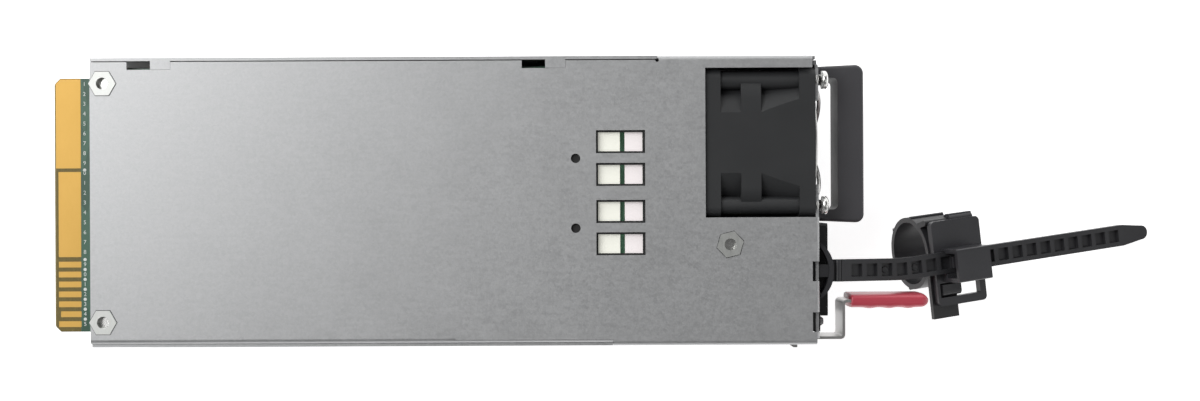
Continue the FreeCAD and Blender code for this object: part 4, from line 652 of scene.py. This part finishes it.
def makeGrip():
    # dipped vinyl sleeve: a rounded box section, cos and sin raised to half their power, carried
    # along the strip, closed by a quarter ellipse at its far end, with three finger ribs on its
    # outer side, each a bell curve of the way along
    sleeve = {"power": 4.0, "nose": 1.9 * mm, "lip": 0.5 * mm, "lipIn": 0.12, "ribs": 3,
              "ribWide": 1.3 * mm, "ribProud": 0.30 * mm, "around": 64, "along": 90}
    low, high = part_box("latch_grip")
    span = high - low
    halfY, halfZ = (span.y - sleeve["ribProud"]) / 2, span.z / 2
    centreY, centreZ = high.y - halfY, (low.z + high.z) / 2
    # closer rows at both ends, where the section changes: a cosine of the way along
    x = low.x + span.x * (1 - np.cos(np.linspace(0, np.pi, sleeve["along"]))) / 2
    nose = np.clip((x - (high.x - sleeve["nose"])) / sleeve["nose"], 0, 1)
    lip = np.clip((low.x + sleeve["lip"] - x) / sleeve["lip"], 0, 1)
    size = np.sqrt(np.clip(1 - nose ** 2, 1e-4, 1))
    size = size * (1 - sleeve["lipIn"] * (1 - np.sqrt(1 - 0.99 * lip ** 2)))
    t = turnSteps(sleeve["around"])
    circle = np.array([np.cos(t), np.sin(t)])
    sideY, sideZ = np.sign(circle) * np.abs(circle) ** (2 / sleeve["power"])
    inset = (1 - size)[:, None] * halfY
    y = sideY[None, :] * (halfY - inset)
    z = sideZ[None, :] * (halfZ - inset)
    outer = np.clip(-sideY, 0, 1)[None, :] ** 2
    for number in range(sleeve["ribs"]):
        at = low.x + span.x * (number + 1) / (sleeve["ribs"] + 1)
        y = y - outer * sleeve["ribProud"] * np.exp(-((x - at) / sleeve["ribWide"]) ** 2)[:, None]
    points = np.stack([x[:, None] + 0 * y, centreY + y, centreZ + z], axis=-1)
    faces = cappedFaces(sleeve["along"], sleeve["around"])
    piece = makePiece("gripSleeve", (points, faces), finishes["latch_grip"], "latch",
                      smooth=True)
    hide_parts("latch_grip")


def strapPoint(station, straight, bend):
    # a place on the strap's middle line: straight on from its root, round an arc to the side, then
    # straight again; and the directions ahead of the root, to its side and out of its upper face
    joints = {joint["name"]: joint for joint in frame["joints"]}
    slide = np.array(joints["clip_slide"]["axis"])
    fall, turn = math.atan2(-slide[2], slide[0]), math.asin(slide[1])
    ahead = np.array([math.cos(fall), 0, -math.sin(fall)])
    side = np.array([0.0, 1.0, 0.0])
    radius = bend / turn
    angle = np.clip(station - straight, 0, bend) / radius
    beyond = max(station - straight - bend, 0)
    along = min(station, straight) + radius * math.sin(angle) + beyond * math.cos(angle)
    across = radius * (1 - math.cos(angle)) + beyond * math.sin(angle)
    point = np.array(joints["strap_lift"]["pos_m"]) + ahead * along + side * across
    return point, ahead, side, np.cross(ahead, side)


def makePocketMarks():
    # round ejector marks on the floors of two of the strap's pockets: a low rim round a shallow
    # dish, as rings whose height changes with their radius
    mark = {"pockets": (2, 4), "radius": 1.0 * mm, "high": 0.16 * mm, "first": 4.95 * mm,
            "pitch": 4.4 * mm, "straight": 15.4 * mm, "bend": 7.0 * mm, "floor": -0.15 * mm}
    # height over the floor at each share of the radius: dish, rim, outside
    radii = np.array([0.55, 0.72, 0.82, 0.90, 0.96, 1.0]) * mark["radius"]
    heights = np.array([0.02, 0.05, 1.0, 1.0, 0.4, 0.0]) * mark["high"]
    around = turnSteps(40)[None, :, None]
    faces = [face[::-1] for face in cappedFaces(len(radii), around.size)]
    shapes = []
    for pocket in mark["pockets"]:
        station = mark["first"] + pocket * mark["pitch"]
        centre, ahead, side, up = strapPoint(station, mark["straight"], mark["bend"])
        ring = radii[:, None, None] * (np.cos(around) * ahead + np.sin(around) * side)
        shapes.append((centre + up * mark["floor"] + ring + heights[:, None, None] * up, faces))
    makePiece("pocketMarks", joinShapes(shapes), finishes["strap"], "strap",
              smooth=True)


makeGuard()
makeCoverScrews()
makeFanScrews()
makeContacts()
makeNumerals()
makeGrip()
makePocketMarks()
print("new pieces made")


def makeCamera():
    # straight down, with its height measured from the plate
    view = {"x": 36.8 * mm, "y": 0.09 * mm, "plate": 40 * mm, "height": 440 * mm,
            "across": 304.2 * mm, "roll": -0.26, "film": 36}
    data = bpy.data.cameras.new("studioCamera")
    data.sensor_width = view["film"]
    data.lens = view["film"] * view["height"] / view["across"]
    data.clip_start = 0.01
    data.clip_end = 20
    camera = bpy.data.objects.new("studioCamera", data)
    camera.location = (view["x"], view["y"], view["plate"] + view["height"])
    camera.rotation_euler = (0, 0, math.radians(view["roll"]))
    bpy.context.scene.collection.objects.link(camera)
    bpy.context.scene.camera = camera


def makeLamps():
    # soft boxes: place, aim, width and height in metres, power in watts
    lamps = {"keySoftbox": ((-0.60, 0.35, 0.90), (-0.02, 0.0, 0.04), 0.8, 0.8, 9.0),
             "fillSoftbox": ((0.75, -0.25, 0.80), (0.05, 0.0, 0.03), 0.5, 0.9, 1.0),
             "backSoftbox": ((0.1, 0.9, 0.5), (0.0, 0.0, 0.02), 1.2, 0.4, 2.0)}
    for name, (place, aim, width, height, power) in lamps.items():
        data = bpy.data.lights.new(name, "AREA")
        data.shape = "RECTANGLE"
        data.size = width
        data.size_y = height
        data.energy = power
        lamp = bpy.data.objects.new(name, data)
        lamp.location = place
        lamp.rotation_euler = (Vector(aim) - Vector(place)).to_track_quat("-Z", "Y").to_euler()
        bpy.context.scene.collection.objects.link(lamp)


def makeWorld():
    # bright walls under a dim ceiling: the grey fades with the height that a ray points at
    walls = {"From Min": 0.08, "From Max": 0.55, "To Min": 0.95, "To Max": 0.12}
    world = bpy.data.worlds.new("studioWorld")
    bpy.context.scene.world = world
    world.use_nodes = True
    tree = world.node_tree
    direction = tree.nodes.new("ShaderNodeTexCoord").outputs["Generated"]
    split = tree.nodes.new("ShaderNodeSeparateXYZ")
    fade = tree.nodes.new("ShaderNodeMapRange")
    for name, value in walls.items():
        fade.inputs[name].default_value = value
    tree.links.new(direction, split.inputs["Vector"])
    tree.links.new(split.outputs["Z"], fade.inputs["Value"])
    tree.links.new(fade.outputs["Result"], tree.nodes["Background"].inputs["Color"])


def makeFloor():
    # plain pale floor just under the case, with a little light of its own
    floor = {"size": 6.0, "drop": 0.2 * mm, "glow": 0.80, "dark": (0.89, 0.89, 0.89),
             "light": (0.9, 0.9, 0.9)}
    corners = np.array([(-1, -1), (1, -1), (1, 1), (-1, 1)]) * floor["size"] / 2
    mesh = bpy.data.meshes.new("studioFloor")
    mesh.from_pydata([(x, y, -floor["drop"]) for x, y in corners], [], [(0, 1, 2, 3)])
    ground = bpy.data.objects.new("studioFloor", mesh)
    bpy.context.scene.collection.objects.link(ground)
    paint = Finish("floorPaint")
    shown = paint.mix(paint.noise(3, 2), floor["dark"], floor["light"])
    mesh.materials.append(paint.shade({"Base Color": shown, "Roughness": 0.9,
                                       "Specular IOR Level": 0.0, "Emission Color": (1, 1, 1, 1),
                                       "Emission Strength": floor["glow"]}))


makeCamera()
makeWorld()
makeFloor()
makeLamps()
bpy.context.scene.view_settings.view_transform = "Standard"
print("camera and lights ready")
